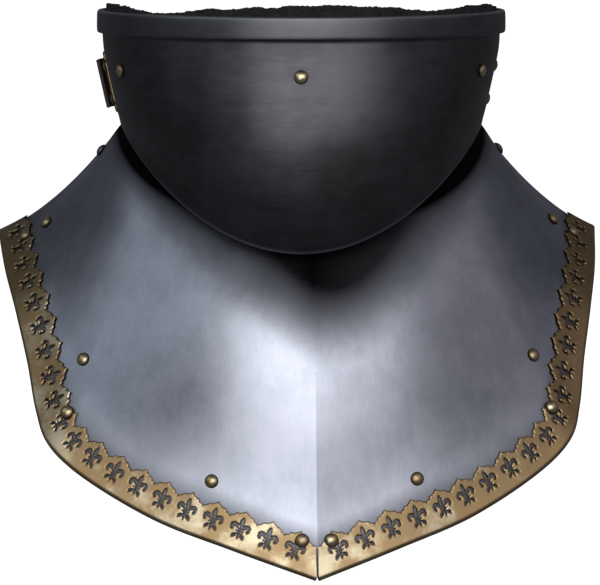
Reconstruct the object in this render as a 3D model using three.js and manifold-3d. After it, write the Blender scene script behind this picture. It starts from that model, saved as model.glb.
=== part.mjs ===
// Steel gorget: a bowl-shaped collar over a pointed bib plate with a pierced brass border.
// Millimetres, +Z up. The wearer faces -Y, and X runs to the right of someone who looks at the front.
// The origin is on the neck's axis, at the height where the collar sits on the shoulders of the bib.

import * as THREE from 'three';
import { mergeVertices } from 'three/addons/utils/BufferGeometryUtils.js';
import Module from 'manifold-3d';

const wasm = await Module();
wasm.setup();

const DEGREE = Math.PI / 180;
const UP = new THREE.Vector3(0, 0, 1);
const FRONT = new THREE.Vector3(0, -1, 0);

// Sheet thicknesses and clearances
const steel_thickness = 1.5;
const brass_thickness = 1;
const lining_thickness = 2;
const strap_thickness = 2;
const seat_gap = 0.4;
const hole_clearance = 0.3;
const bar_play = 0.3;

// Collar bowl
const collar_half_width = 118.6;
const collar_depth = 122.5;
const collar_back_depth = 108;
const collar_end_angle = 105;
const collar_turn = -3.5;
const bowl_columns = 28;
const rim_height = 68;
const rim_band_height = 13.3;
const rim_band_proud = 3.3;
const lip_side_height = 2;
const lip_drop = 69;
const lip_sweep = 1.85;

// Bib plate
const neck_margin = 0.9;
const neck_depth = 78;
const neck_side_height = -2;
const neck_drop = 52;
const neck_end_angle = 98;
const bib_half_width = 181;
const bib_reach = 150;
const bib_length = 244.5;
const bib_bulge = 18;
const shoulder_sag = 8;
const flange_side_height = 20;
const flange_front_rise = 14;
const flange_fold = 4.2;

// Pierced brass border
const border_width = 21.5;
const fleur_count = 20;
const fleur_height = 12.6;
const fleur_inset = 4.6;
const corner_high = 0.86;
const border_gap = 0.75;
const seam_margin = 9;
const corner_margin = 3;
const seam_gap = 0.4;
const wrap_lip = 6;

// Lining, strap and buckle
const lining_low_height = 28;
const lining_rise = 6;
const strap_width = 30;
const strap_height = 24;
const strap_pair_spacing = 20;
const buckle_bar = 3;
const buckle_length = 23.5;
const buckle_height = 38;
const chape_height = 26;
const chape_length = 14;
const chape_turn = 96;
const strap_rivet_turn = 94;
const strap_seat = 1.2;
const strap_overlap = 6;
const strap_bend = 4;
const lining_rivet_height = 34.5;
const prong_width = 2.6;

// Rivets
const rivet_radius = 4;
const rivet_dome = 2.6;
const shank_radius = 1.6;
const shank_spare = 1;
const rivet_sides = 8;

// Bowl sections from the rim (down 0) to the lip (down 1), as shares of the half width and the depth.
const BOWL_SECTIONS = [
  { down: 0.00, side: 1.000, front: 0.998 },
  { down: 0.10, side: 1.000, front: 1.000 },
  { down: 0.22, side: 1.000, front: 1.012 },
  { down: 0.36, side: 0.994, front: 1.027 },
  { down: 0.52, side: 0.976, front: 1.035 },
  { down: 0.66, side: 0.959, front: 1.019 },
  { down: 0.78, side: 0.944, front: 0.988 },
  { down: 0.88, side: 0.932, front: 0.941 },
  { down: 0.95, side: 0.922, front: 0.896 },
  { down: 1.00, side: 0.916, front: 0.853 },
];

// Rim section: how far below the rim's top, as a share of the band's height, and how far it stands out.
const RIM_SECTION = [
  { below: 0.00, proud: 0.35 },
  { below: 0.06, proud: 0.90 },
  { below: 0.80, proud: 1.00 },
  { below: 0.97, proud: 0.30 },
];

// Heights of the bowl's rows, from the band's lower edge (0) to the lip (1).
const BOWL_ROWS = [0, 0.2, 0.4, 0.58, 0.74, 0.88, 0.95, 1];

// Outer edge of one half of the bib, from the tip to the shoulder corner, as shares of its sizes.
const OUTER_EDGE = [
  { wide: 0.000, forward: 1.000, down: 1.000 },
  { wide: 0.258, forward: 0.920, down: 0.937 },
  { wide: 0.506, forward: 0.815, down: 0.874 },
  { wide: 0.756, forward: 0.672, down: 0.771 },
  { wide: 0.834, forward: 0.604, down: 0.714 },
  { wide: 0.865, forward: 0.520, down: 0.654 },
  { wide: 0.893, forward: 0.398, down: 0.552 },
  { wide: 0.933, forward: 0.240, down: 0.440 },
  { wide: 0.972, forward: 0.040, down: 0.355 },
  { wide: 1.000, forward: -0.190, down: 0.275 },
];

// Shares of the outer edge's length either side of a place over which its soft course is averaged.
const SOFT_OFFSETS = [-0.24, -0.16, -0.08, 0, 0.08, 0.16, 0.24];
const soft_parts = 40;

// Rows of the bib from the neck crease (0) to the outer edge (1).
const BIB_ROWS = [0, 0.15, 0.33, 0.52, 0.7, 0.86, 1];

// Crest of one border unit, as shares of the pitch and of the border's width.
const CREST = [
  { along: 0.00, high: 0.74 },
  { along: 0.22, high: 0.87 },
  { along: 0.34, high: 0.86 },
  { along: 0.50, high: 1.00 },
  { along: 0.66, high: 0.86 },
  { along: 0.78, high: 0.87 },
];

// Right half of a fleur-de-lis from its top to its foot, as shares of its height.
const FLEUR = [
  { wide: 0.00, high: 1.00 },
  { wide: 0.15, high: 0.75 },
  { wide: 0.06, high: 0.48 },
  { wide: 0.26, high: 0.66 },
  { wide: 0.40, high: 0.48 },
  { wide: 0.08, high: 0.34 },
  { wide: 0.22, high: 0.12 },
  { wide: 0.00, high: 0.00 },
];

// Top edge of the lining round the collar, as shares of its greatest rise above the rim.
const LINING_EDGE = [
  { turn: -105, rise: 0.35 },
  { turn: -90, rise: 0.50 },
  { turn: -62, rise: 0.60 },
  { turn: -48, rise: 0.15 },
  { turn: -38, rise: 0.25 },
  { turn: -17, rise: 0.80 },
  { turn: 5, rise: 1.00 },
  { turn: 24, rise: 0.80 },
  { turn: 38, rise: 0.40 },
  { turn: 53, rise: 0.60 },
  { turn: 68, rise: 0.75 },
  { turn: 90, rise: 0.20 },
  { turn: 105, rise: 0.20 },
];

// Strap round the back: angle from the front, and how far it lies in (1) or out of the wall's line.
const STRAP_BACK = [
  { turn: 115, out: 0.7 },
  { turn: 128, out: 0.2 },
  { turn: 143, out: 0 },
  { turn: 158, out: 0 },
  { turn: 173, out: 0 },
  { turn: 188, out: 0 },
  { turn: 203, out: -0.2 },
  { turn: 217, out: -0.7 },
  { turn: 231, out: -1.3 },
];

// Rivets through the collar and its lining: angle from the front.
const COLLAR_RIVETS = [
  { name: 'rivet_lining_left', turn: -63 },
  { name: 'rivet_lining_front', turn: 0 },
  { name: 'rivet_lining_right', turn: 63 },
];

// Rivets through the bib, as shares across from the ridge and down from the neck crease.
const BIB_RIVETS = [
  { name: 'rivet_neck', across: 0.95, down: 0.15, steel: true },
  { name: 'rivet_shoulder', across: 0.92, down: 0.65 },
  { name: 'rivet_side', across: 0.54, down: 0.72 },
  { name: 'rivet_chest', across: 0.20, down: 0.83 },
];

// Rivets through border and bib: which fleur they stand over, and how far in, as a share of the width.
const BORDER_RIVETS = [
  { name: 'rivet_border_tip', fleur: 0.36, high: 0.76 },
  { name: 'rivet_border_side', fleur: 10.8, high: 0.74 },
  { name: 'rivet_border_corner', fleur: 18.9, high: 0.74 },
];

const material = (colour, roughness, metalness) =>
  new THREE.MeshStandardMaterial({ color: colour, roughness, metalness });
const bowl_steel = material(0x4b4b50, 0.35, 1);
const bib_steel = material(0x8f97a6, 0.35, 1);
const border_brass = material(0x8a7447, 0.4, 1);
const rivet_brass = material(0xa08a58, 0.35, 1);
const lining_suede = material(0x101012, 0.95, 0);
const strap_leather = material(0x1c1613, 0.7, 0);

// Value of a named column of a table, on a smooth curve through its rows.
function read(table, by, at, column) {
  const last = table.length - 1;
  let i = 0;
  while (i < last - 1 && at > table[i + 1][by]) i += 1;
  const row = (k) => table[Math.min(Math.max(k, 0), last)];
  const slope = (k) => {
    const before = row(k - 1);
    const after = row(k + 1);
    return (after[column] - before[column]) / (after[by] - before[by]);
  };
  const step = row(i + 1)[by] - row(i)[by];
  const t = Math.min(Math.max((at - row(i)[by]) / step, 0), 1);
  const hermite = (1 + 2 * t) * (1 - t) ** 2 * row(i)[column] + t * t * (3 - 2 * t) * row(i + 1)[column];
  return hermite + step * (t * (1 - t) ** 2 * slope(i) - t * t * (1 - t) * slope(i + 1));
}

// Numbers from first to last in equal steps.
function steps(first, last, count) {
  return Array.from({ length: count + 1 }, (unused, i) => first + (last - first) * i / count);
}

// Closed body between two grids of points, outer[i][j] facing out where i x j points out.
function shell(outer, inner) {
  const rows = outer[0].length;
  const columns = outer.length;
  const positions = [];
  for (const grid of [outer, inner]) {
    for (const column of grid) {
      for (const point of column) positions.push(point.x, point.y, point.z);
    }
  }
  const at = (side, i, j) => side * rows * columns + i * rows + j;
  const index = [];
  const quad = (a, b, c, d) => index.push(a, b, c, a, c, d);
  for (let i = 0; i < columns - 1; i += 1) {
    for (let j = 0; j < rows - 1; j += 1) {
      quad(at(0, i, j), at(0, i + 1, j), at(0, i + 1, j + 1), at(0, i, j + 1));
      quad(at(1, i, j), at(1, i, j + 1), at(1, i + 1, j + 1), at(1, i + 1, j));
    }
    quad(at(0, i, 0), at(1, i, 0), at(1, i + 1, 0), at(0, i + 1, 0));
    quad(at(0, i, rows - 1), at(0, i + 1, rows - 1), at(1, i + 1, rows - 1), at(1, i, rows - 1));
  }
  for (let j = 0; j < rows - 1; j += 1) {
    quad(at(0, 0, j), at(0, 0, j + 1), at(1, 0, j + 1), at(1, 0, j));
    const end = columns - 1;
    quad(at(0, end, j), at(1, end, j), at(1, end, j + 1), at(0, end, j + 1));
  }
  const geometry = new THREE.BufferGeometry();
  geometry.setAttribute('position', new THREE.Float32BufferAttribute(positions, 3));
  geometry.setIndex(index);
  return geometry;
}

// Solid of a closed geometry, and geometry of a solid.
function solidOf(geometry) {
  const bare = geometry.clone();
  bare.deleteAttribute('normal');
  bare.deleteAttribute('uv');
  const merged = mergeVertices(bare, 1e-4);
  return new wasm.Manifold(new wasm.Mesh({
    numProp: 3,
    vertProperties: new Float32Array(merged.attributes.position.array),
    triVerts: new Uint32Array(merged.index.array),
  }));
}

function geometryOf(solid) {
  const mesh = solid.getMesh();
  const geometry = new THREE.BufferGeometry();
  geometry.setAttribute('position', new THREE.BufferAttribute(mesh.vertProperties, 3));
  geometry.setIndex(new THREE.BufferAttribute(mesh.triVerts, 1));
  return geometry;
}

// Bowl and neck surfaces

// Height of the bowl's lower lip at an angle from the front.
function lipHeight(angle) {
  return lip_side_height - lip_drop * Math.max(Math.cos(angle), 0) ** lip_sweep;
}

// Point of the bowl's outer face: an ellipse at each height, whose axes follow the sections.
function bowlFace(angle, height) {
  const down = (rim_height - height) / (rim_height - lipHeight(angle));
  const side = collar_half_width * read(BOWL_SECTIONS, 'down', down, 'side');
  const front = collar_depth * read(BOWL_SECTIONS, 'down', down, 'front');
  const back = side * collar_back_depth / collar_half_width;
  const depth = Math.cos(angle) > 0 ? front : back;
  return new THREE.Vector3(side * Math.sin(angle), -depth * Math.cos(angle), height);
}

// Direction out of a face given by two numbers.
function faceNormal(face, first, second, step) {
  const along = face(first + step, second).sub(face(first - step, second));
  const up = face(first, second + step).sub(face(first, second - step));
  return along.cross(up).normalize();
}

function bowlNormal(angle, height) {
  return faceNormal(bowlFace, angle, height, 1e-3);
}

// Point that stands out from the bowl's outer face by a distance, or lies inside it.
function nearBowl(angle, height, out) {
  return bowlFace(angle, height).addScaledVector(bowlNormal(angle, height), out);
}

// Place of a piece that sits on a face: Z out of the face, Y up along it.
function frameOn(point, normal) {
  const across = new THREE.Vector3().crossVectors(UP, normal).normalize();
  const up = new THREE.Vector3().crossVectors(normal, across);
  return new THREE.Matrix4().makeBasis(across, up, normal).setPosition(point);
}

function bowlFrame(turn, height, out) {
  const angle = turn * DEGREE;
  return frameOn(nearBowl(angle, height, out), bowlNormal(angle, height));
}

// Bib surface

// Half width of the neck crease, a little outside the collar's lip at its sides.
const neck_half_width = collar_half_width * BOWL_SECTIONS.at(-1).side + neck_margin;

const outer_edge = new THREE.CatmullRomCurve3(OUTER_EDGE.map((row) => new THREE.Vector3(
  row.wide * bib_half_width, -row.forward * bib_reach, -row.down * bib_length)), false, 'centripetal');
outer_edge.arcLengthDivisions = 400;
const edge_length = outer_edge.getLength();

// Point of the outer edge by share of its length; past either end the curve goes on turned about that end.
function edgePoint(share) {
  const inside = Math.min(Math.max(share, 0), 1);
  const point = outer_edge.getPointAt(inside);
  if (share === inside) return point;
  return point.multiplyScalar(2).sub(outer_edge.getPointAt(2 * inside - share));
}

// Soft course of the outer edge, which the middle of the plate follows.
const soft_edge = new THREE.CatmullRomCurve3(steps(0, 1, soft_parts).map((share) => SOFT_OFFSETS
  .reduce((sum, offset) => sum.add(edgePoint(share + offset)), new THREE.Vector3())
  .divideScalar(SOFT_OFFSETS.length)));

// Point of the fold between the bib and its upright neck flange.
function creasePoint(angle) {
  return new THREE.Vector3(neck_half_width * Math.sin(angle), -neck_depth * Math.cos(angle),
    neck_side_height - neck_drop * Math.max(Math.cos(angle), 0));
}

// Scale that makes d (1 - d)^2 one at its highest, a third of the way down.
const bulge_scale = 27 / 4;

// Point of the right half of the bib's outer face: across from ridge to shoulder, down from neck to edge.
// It bulges forward at the ridge, sags at the shoulder, and bends like the outer edge only close to it.
function bibFace(across, down) {
  const share = Math.min(Math.max(across, 0), 1);
  const bulge = bulge_scale * down * (1 - down) ** 2 * Math.cos(Math.PI / 2 * share) ** 2;
  const sag = 4 * down * (1 - down) * share ** 3;
  const soft = soft_edge.getPoint(share);
  const bend = edgePoint(share).sub(soft);
  return creasePoint(across * neck_end_angle * DEGREE)
    .lerp(soft, down)
    .addScaledVector(bend, down ** 3)
    .addScaledVector(FRONT, bulge * bib_bulge)
    .addScaledVector(UP, -sag * shoulder_sag);
}

// Frame of the bib's face at a place: the two slopes of the face and its outward direction.
function bibSlopes(across, down) {
  const step = 1e-3;
  const left = Math.max(across - step, 0);
  const right = Math.min(across + step, 1);
  const along = bibFace(right, down).sub(bibFace(left, down)).divideScalar(right - left);
  const fall = bibFace(across, down + step).sub(bibFace(across, down - step)).divideScalar(2 * step);
  const normal = new THREE.Vector3().crossVectors(fall, along).normalize();
  return { along, fall, normal };
}

// Place reached from the outer edge by going inward on the face, and sideways past either end.
function fromEdge(along, inward) {
  let across = Math.min(Math.max(along / edge_length, 0), 1);
  let down = 1;
  const start = bibSlopes(across, down);
  const side = start.along.clone().normalize();
  const past = along - across * edge_length;
  const parts = 3;
  for (let i = 0; i < parts; i += 1) {
    const here = bibSlopes(across, down);
    const inner = new THREE.Vector3().crossVectors(here.normal, side).normalize();
    const go = inner.multiplyScalar(inward / parts).addScaledVector(side, past / parts);
    const aa = here.along.dot(here.along);
    const af = here.along.dot(here.fall);
    const ff = here.fall.dot(here.fall);
    const ga = go.dot(here.along);
    const gf = go.dot(here.fall);
    const area = aa * ff - af * af;
    across += (ga * ff - gf * af) / area;
    down += (gf * aa - ga * af) / area;
  }
  return { across: Math.min(Math.max(across, 0), 1), down };
}

// Mirror image of a point in the bib's middle plane, for its left half.
function sided(point, side) {
  return point.clone().setX(point.x * side);
}

// Point of the bib's outer face raised off it, for one side.
function overBib(side, across, down, out) {
  const point = bibFace(across, down).addScaledVector(bibSlopes(across, down).normal, out);
  return sided(point, side);
}

function bibFrame(side, across, down, out) {
  return frameOn(overBib(side, across, down, out), sided(bibSlopes(across, down).normal, side));
}

const fleur_pitch = (edge_length - seam_margin - corner_margin) / fleur_count;

// Stations along the outer edge: the ridge, the ends of the border's units, and the corner.
const edge_stations = [0, ...steps(seam_margin, edge_length - corner_margin, fleur_count), edge_length];

// Grid of points set back from another grid by a thickness, mitred at its folds.
function setBack(grid, thickness) {
  const columns = grid.length;
  const rows = grid[0].length;
  const sums = grid.map((column) => column.map(() => ({ total: new THREE.Vector3(), count: 0 })));
  for (let i = 0; i < columns - 1; i += 1) {
    for (let j = 0; j < rows - 1; j += 1) {
      const across = grid[i + 1][j + 1].clone().sub(grid[i][j]);
      const up = grid[i][j + 1].clone().sub(grid[i + 1][j]);
      const normal = across.cross(up).normalize();
      for (const corner of [sums[i][j], sums[i + 1][j], sums[i + 1][j + 1], sums[i][j + 1]]) {
        corner.total.add(normal);
        corner.count += 1;
      }
    }
  }
  return grid.map((column, i) => column.map((point, j) => {
    const mean = sums[i][j].total.divideScalar(sums[i][j].count);
    return point.clone().addScaledVector(mean, -thickness / mean.lengthSq());
  }));
}

// Rivet holes: shanks a little wider than the rivets', cut out of every sheet they pass.
function drilled(geometry, places) {
  const drill = new THREE.CylinderGeometry(shank_radius + hole_clearance, shank_radius + hole_clearance,
    6 * rivet_radius, rivet_sides).rotateX(Math.PI / 2);
  return geometryOf(places.reduce(
    (solid, place) => solid.subtract(solidOf(drill.clone().applyMatrix4(place))), solidOf(geometry)));
}

function mesh(name, geometry, finish) {
  const piece = new THREE.Mesh(geometry, finish);
  piece.name = name;
  return piece;
}

// Domed rivet with its underside at the frame's origin and its shank through the sheets below.
function rivet(name, place, sheets, finish) {
  const profile = [
    [0, rivet_dome],
    [rivet_radius * 0.62, rivet_dome * 0.8],
    [rivet_radius, 0],
    [shank_radius, 0],
    [shank_radius, -sheets - shank_spare],
    [0, -sheets - shank_spare],
  ].map(([radius, height]) => new THREE.Vector2(radius, height)).reverse();
  const piece = mesh(name, new THREE.LatheGeometry(profile, rivet_sides).rotateX(Math.PI / 2), finish);
  piece.applyMatrix4(place);
  return piece;
}

// Collar

const collar = new THREE.Group();
collar.rotation.z = collar_turn * DEGREE;
collar.updateMatrix();
const wall_and_gap = steel_thickness + seat_gap;
const lining_inside = -wall_and_gap;
const strap_inside = lining_inside - lining_thickness - strap_seat - strap_thickness / 2;
const upper_rivet_height = strap_height + strap_pair_spacing / 2;
const lower_rivet_height = strap_height - strap_pair_spacing / 2;

// Height of a share of the way down the wall, from the foot of the rim's band to the lip.
function wallHeight(angle, share) {
  const band_foot = rim_height - rim_band_height;
  return band_foot + share * (lipHeight(angle) - band_foot);
}

function bowlBody() {
  const outer = [];
  const inner = [];
  for (const turn of steps(-collar_end_angle, collar_end_angle, bowl_columns)) {
    const angle = turn * DEGREE;
    const rim = RIM_SECTION.map((row) => ({
      height: rim_height - row.below * rim_band_height,
      out: row.proud * rim_band_proud,
    }));
    const wall = BOWL_ROWS.map((share) => ({ height: wallHeight(angle, share), out: 0 }));
    const rows = [...rim, ...wall].reverse();
    outer.push(rows.map((row) => nearBowl(angle, row.height, row.out)));
    inner.push(rows.map((row) => nearBowl(angle, row.height, -steel_thickness)));
  }
  return shell(outer, inner);
}

function liningBody() {
  const face = (turn, out) => {
    const angle = turn * DEGREE;
    const heights = [lining_low_height, wallHeight(angle, BOWL_ROWS[1]), wallHeight(angle, 0), rim_height];
    const wall = heights.map((height) => nearBowl(angle, height, out));
    const top = wall[3].clone();
    top.z += lining_rise * read(LINING_EDGE, 'turn', turn, 'rise');
    return [...wall, top];
  };
  const turns = steps(-collar_end_angle, collar_end_angle, bowl_columns);
  return shell(turns.map((turn) => face(turn, lining_inside)),
    turns.map((turn) => face(turn, lining_inside - lining_thickness)));
}

// Buckle, strap and the rivets that hold them

// Places on the buckle: X runs back along the collar from the middle of the chape, Z out of the wall.
const chape_low = seat_gap;
const bar_low = chape_low + brass_thickness + seat_gap;
const bar_high = bar_low + buckle_bar;
const loop_high = bar_high + seat_gap + brass_thickness;
const bar_near = chape_length / 2 + brass_thickness;
const bar_far = bar_near + buckle_bar;
const frame_far = bar_near + buckle_length;
const under_bar = bar_low - seat_gap - strap_thickness / 2;
const over_loop = loop_high + seat_gap + strap_thickness / 2;
const buckle_place = bowlFrame(-chape_turn, strap_height, 0)
  .multiply(new THREE.Matrix4().makeRotationZ(Math.PI));

const lining_rivets = COLLAR_RIVETS.map((row) => ({
  name: row.name,
  place: bowlFrame(row.turn, lining_rivet_height, seat_gap),
  sheets: wall_and_gap + seat_gap + lining_thickness,
}));
const strap_rivets = [
  { name: 'rivet_strap_upper', height: upper_rivet_height },
  { name: 'rivet_strap_lower', height: lower_rivet_height },
].map((row) => ({
  name: row.name,
  place: bowlFrame(strap_rivet_turn, row.height, seat_gap),
  sheets: seat_gap - strap_inside + strap_thickness / 2,
}));
const chape_rivets = [
  { name: 'rivet_chape_upper', end: -1 },
  { name: 'rivet_chape_lower', end: 1 },
].map((row) => ({
  name: row.name,
  place: buckle_place.clone().multiply(new THREE.Matrix4().makeTranslation(
    -chape_length / 8, row.end * strap_pair_spacing / 2, chape_low + brass_thickness + seat_gap)),
  sheets: chape_low + brass_thickness + seat_gap + wall_and_gap + lining_thickness,
}));

// Strap stations: middle of the strap, its outward direction and its direction up.
function onCollar(turn, out) {
  return bowlFrame(turn, strap_height, out);
}

function onBuckle(back, out) {
  return buckle_place.clone().multiply(new THREE.Matrix4().makeTranslation(back, 0, out))
    .multiply(new THREE.Matrix4().makeRotationZ(Math.PI));
}

// The strap runs from inside the right end, round the back, under the frame's far bar and over its loop.
function strapStations() {
  const inside = [-8, 3, collar_end_angle - strap_rivet_turn + 2]
    .map((step) => onCollar(strap_rivet_turn + step, strap_inside));
  const back = STRAP_BACK.map((row) => onCollar(row.turn, row.out * strap_inside));
  const buckle = [
    onBuckle(frame_far + strap_overlap, under_bar),
    onBuckle(frame_far - buckle_bar - strap_bend / 2, under_bar),
    onBuckle(bar_far + strap_bend, over_loop),
    onBuckle(bar_near - strap_bend, over_loop),
  ];
  return [...inside, ...back, ...buckle];
}

function strapBody() {
  const corner = (place, side, end) => new THREE.Vector3(
    0, end * strap_width / 2, side * strap_thickness / 2).applyMatrix4(place);
  const face = (side) => strapStations().map((place) => [-1, 1].map((end) => corner(place, side, end)));
  return shell(face(1), face(-1));
}

// Slab with a section in the buckle's X and Z, centred on its height.
function buckleSlab(shape, height) {
  return new THREE.ExtrudeGeometry(shape, { depth: height, bevelEnabled: false })
    .translate(0, 0, -height / 2).rotateX(Math.PI / 2);
}

function rectangle(left, right, low, high) {
  return new THREE.Shape([[left, low], [right, low], [right, high], [left, high]]
    .map(([x, y]) => new THREE.Vector2(x, y)));
}

// Opening of the loops that turn on the near bar.
function barOpening() {
  return rectangle(bar_near - bar_play, bar_far + bar_play, bar_low - bar_play, bar_high + bar_play);
}

// Brass plate whose end is rolled round the near bar, with a slot for the prong.
function chapeBody() {
  const loop_near = bar_near - seat_gap - brass_thickness;
  const loop_far = bar_far + seat_gap + brass_thickness;
  const shape = new THREE.Shape([
    [-chape_length / 2, chape_low], [loop_far, chape_low], [loop_far, loop_high],
    [loop_near, loop_high], [loop_near, chape_low + brass_thickness],
    [-chape_length / 2, chape_low + brass_thickness],
  ].map(([x, y]) => new THREE.Vector2(x, y)));
  shape.holes.push(barOpening());
  const slot = buckleSlab(rectangle(loop_near - seat_gap, loop_far + seat_gap, 0, loop_high + seat_gap),
    prong_width + 2 * seat_gap);
  return geometryOf(solidOf(buckleSlab(shape, chape_height)).subtract(solidOf(slot)));
}

// Rectangular frame with rounded far corners.
function buckleFrameBody() {
  const outline = (near, far, half, radius) => {
    const shape = new THREE.Shape();
    shape.moveTo(near, -half).lineTo(far - radius, -half);
    shape.quadraticCurveTo(far, -half, far, -half + radius).lineTo(far, half - radius);
    shape.quadraticCurveTo(far, half, far - radius, half).lineTo(near, half).closePath();
    return shape;
  };
  const shape = outline(bar_near, frame_far, buckle_height / 2, 2 * buckle_bar);
  shape.holes.push(outline(bar_far, frame_far - buckle_bar, buckle_height / 2 - buckle_bar, buckle_bar));
  return new THREE.ExtrudeGeometry(shape, { depth: buckle_bar, bevelEnabled: false, curveSegments: 3 })
    .translate(0, 0, bar_low);
}

// Prong: a loop on the near bar and a tongue that rests on the far one.
function prongBody() {
  const loop_near = bar_near - seat_gap - brass_thickness;
  const loop_far = bar_far + seat_gap + brass_thickness;
  const rest = bar_high + seat_gap;
  const shape = new THREE.Shape([
    [loop_near, chape_low], [loop_far, chape_low], [loop_far, bar_low],
    [frame_far - buckle_bar - seat_gap, rest], [frame_far, rest],
    [frame_far, rest + prong_width / 2], [frame_far - buckle_bar, rest + prong_width / 2],
    [loop_far, loop_high], [loop_near, loop_high],
  ].map(([x, y]) => new THREE.Vector2(x, y)));
  shape.holes.push(barOpening());
  return buckleSlab(shape, prong_width);
}

// Hole of the strap that the prong comes through.
function strapHole() {
  return buckleSlab(rectangle(bar_far + seat_gap, frame_far - buckle_bar, 0, over_loop + strap_thickness),
    prong_width + 2 * seat_gap).applyMatrix4(buckle_place);
}

const places = (rows) => rows.map((row) => row.place);

const collar_holes = [...places(lining_rivets), ...places(strap_rivets), ...places(chape_rivets)];
collar.add(mesh('bevor_bowl', drilled(bowlBody(), collar_holes), bowl_steel));
collar.add(mesh('collar_lining', drilled(liningBody(), collar_holes), lining_suede));
const strap_cut = solidOf(strapBody()).subtract(solidOf(strapHole()));
collar.add(mesh('neck_strap', drilled(geometryOf(strap_cut), places(strap_rivets)), strap_leather));

const chape = drilled(chapeBody().applyMatrix4(buckle_place), places(chape_rivets));
collar.add(mesh('buckle_chape', chape, border_brass));
collar.add(mesh('buckle_frame', buckleFrameBody().applyMatrix4(buckle_place), border_brass));
collar.add(mesh('buckle_prong', prongBody().applyMatrix4(buckle_place), border_brass));
for (const row of [...lining_rivets, ...strap_rivets, ...chape_rivets]) {
  collar.add(rivet(row.name, row.place, row.sheets, rivet_brass));
}

// Bib plate with its upright neck flange

// Half width of the flange at a height, clear of the inside of the bowl's wall.
function flangeHalfWidth(height) {
  return bowlFace(Math.PI / 2, height).x - wall_and_gap - seat_gap / 2;
}

// Points of the flange over the crease at an angle: just over the fold, and at its top.
function flangePoints(angle) {
  const crease = creasePoint(angle);
  const side = Math.sin(angle) ** 2;
  const fold_height = crease.z + flange_fold;
  const top_height = fold_height + flange_front_rise
    + side * (flange_side_height - fold_height - flange_front_rise);
  const heights = [fold_height, top_height];
  const widths = [neck_half_width - flange_fold, flangeHalfWidth(flange_side_height)];
  return heights.map((height, i) => new THREE.Vector3(widths[i] * Math.sin(angle),
    crease.y * (1 - flange_fold / neck_depth), height));
}

function bibBody() {
  const column = (side, along) => {
    const across = along / edge_length;
    const rows = [...BIB_ROWS].reverse().map((down) => bibFace(across, down));
    return [...rows, ...flangePoints(across * neck_end_angle * DEGREE)].map((point) => sided(point, side));
  };
  const left = edge_stations.slice(1).reverse().map((along) => column(-1, along));
  const grid = [...left, ...edge_stations.map((along) => column(1, along))];
  return shell(grid, setBack(grid, steel_thickness));
}

const bib_rivets = [];
for (const [word, side] of [['left', -1], ['right', 1]]) {
  for (const row of BIB_RIVETS) {
    bib_rivets.push({
      name: `${row.name}_${word}`,
      place: bibFrame(side, row.across, row.down, seat_gap),
      sheets: wall_and_gap,
      finish: row.steel ? bib_steel : rivet_brass,
    });
  }
}

function borderRivets(word, side) {
  return BORDER_RIVETS.map((row) => {
    const spot = fromEdge(seam_margin + row.fleur * fleur_pitch, row.high * border_width);
    return {
      name: `${row.name}_${word}`,
      place: bibFrame(side, spot.across, spot.down, border_gap + brass_thickness + seat_gap),
      sheets: border_gap + brass_thickness + seat_gap + steel_thickness,
    };
  });
}

// Outline of the fleur pierced in a unit, flat: x along the edge from the ridge, y inward from the edge.
function fleurOutline(unit) {
  const half = FLEUR.map((row) => [row.wide * fleur_height, fleur_inset + row.high * fleur_height]);
  const whole = [...half, ...half.slice(1, -1).reverse().map(([x, y]) => [-x, y])];
  return whole.map(([x, y]) => [seam_margin + (unit + 0.5) * fleur_pitch + x, y]);
}

// Cells of one border strip, flat: the seam's end, the units with their fleurs, and the corner's end.
function stripCells() {
  const slant = (across) => {
    const slopes = bibSlopes(across, 1);
    const side = slopes.along.clone().normalize();
    const inner = new THREE.Vector3().crossVectors(slopes.normal, side);
    return slopes.fall.dot(side) / slopes.fall.dot(inner);
  };
  const crest = (unit) => CREST.map(
    (row) => [seam_margin + (unit + row.along) * fleur_pitch, row.high * border_width]);
  const foot = (station) => [Math.max(edge_stations[station], seam_gap), 0];
  const low = CREST[0].high * border_width;
  const end = corner_high * border_width;
  const corner = [edge_length - corner_margin, end];
  const cells = [{ outline: [foot(0), foot(1), crest(0)[0], [slant(0) * low + seam_gap, low]], hole: [] }];
  for (let unit = 0; unit < fleur_count; unit += 1) {
    const next = unit + 1 < fleur_count ? crest(unit + 1)[0] : corner;
    cells.push({
      outline: [foot(unit + 1), foot(unit + 2), next, ...crest(unit).reverse()],
      hole: fleurOutline(unit),
    });
  }
  cells.push({
    outline: [foot(fleur_count + 1), foot(fleur_count + 2), [edge_length + slant(1) * end, end], corner],
    hole: [],
  });
  return cells;
}

// Flat triangles of the strip over shared spots, and the edges that only one triangle has.
function stripMesh() {
  const spots = [];
  const numbers = new Map();
  const numberOf = ([x, y]) => {
    const key = `${x.toFixed(3)},${y.toFixed(3)}`;
    if (!numbers.has(key)) numbers.set(key, spots.push({ x, y }) - 1);
    return numbers.get(key);
  };
  const triangles = [];
  for (const cell of stripCells()) {
    const around = [cell.outline, cell.hole].filter((loop) => loop.length > 0);
    const flat = around.flat().map(numberOf);
    const [outline, ...holes] = around.map((loop) => loop.map(([x, y]) => new THREE.Vector2(x, y)));
    for (const corners of THREE.ShapeUtils.triangulateShape(outline, holes)) {
      const [a, b, c] = corners.map((corner) => flat[corner]);
      const turn = (spots[b].x - spots[a].x) * (spots[c].y - spots[a].y)
        - (spots[b].y - spots[a].y) * (spots[c].x - spots[a].x);
      triangles.push(turn > 0 ? [a, b, c] : [a, c, b]);
    }
  }
  const edges = triangles.flatMap(([a, b, c]) => [[a, b], [b, c], [c, a]]);
  const known = new Set(edges.map(([a, b]) => `${a},${b}`));
  return { spots, triangles, rims: edges.filter(([a, b]) => !known.has(`${b},${a}`)) };
}

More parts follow.
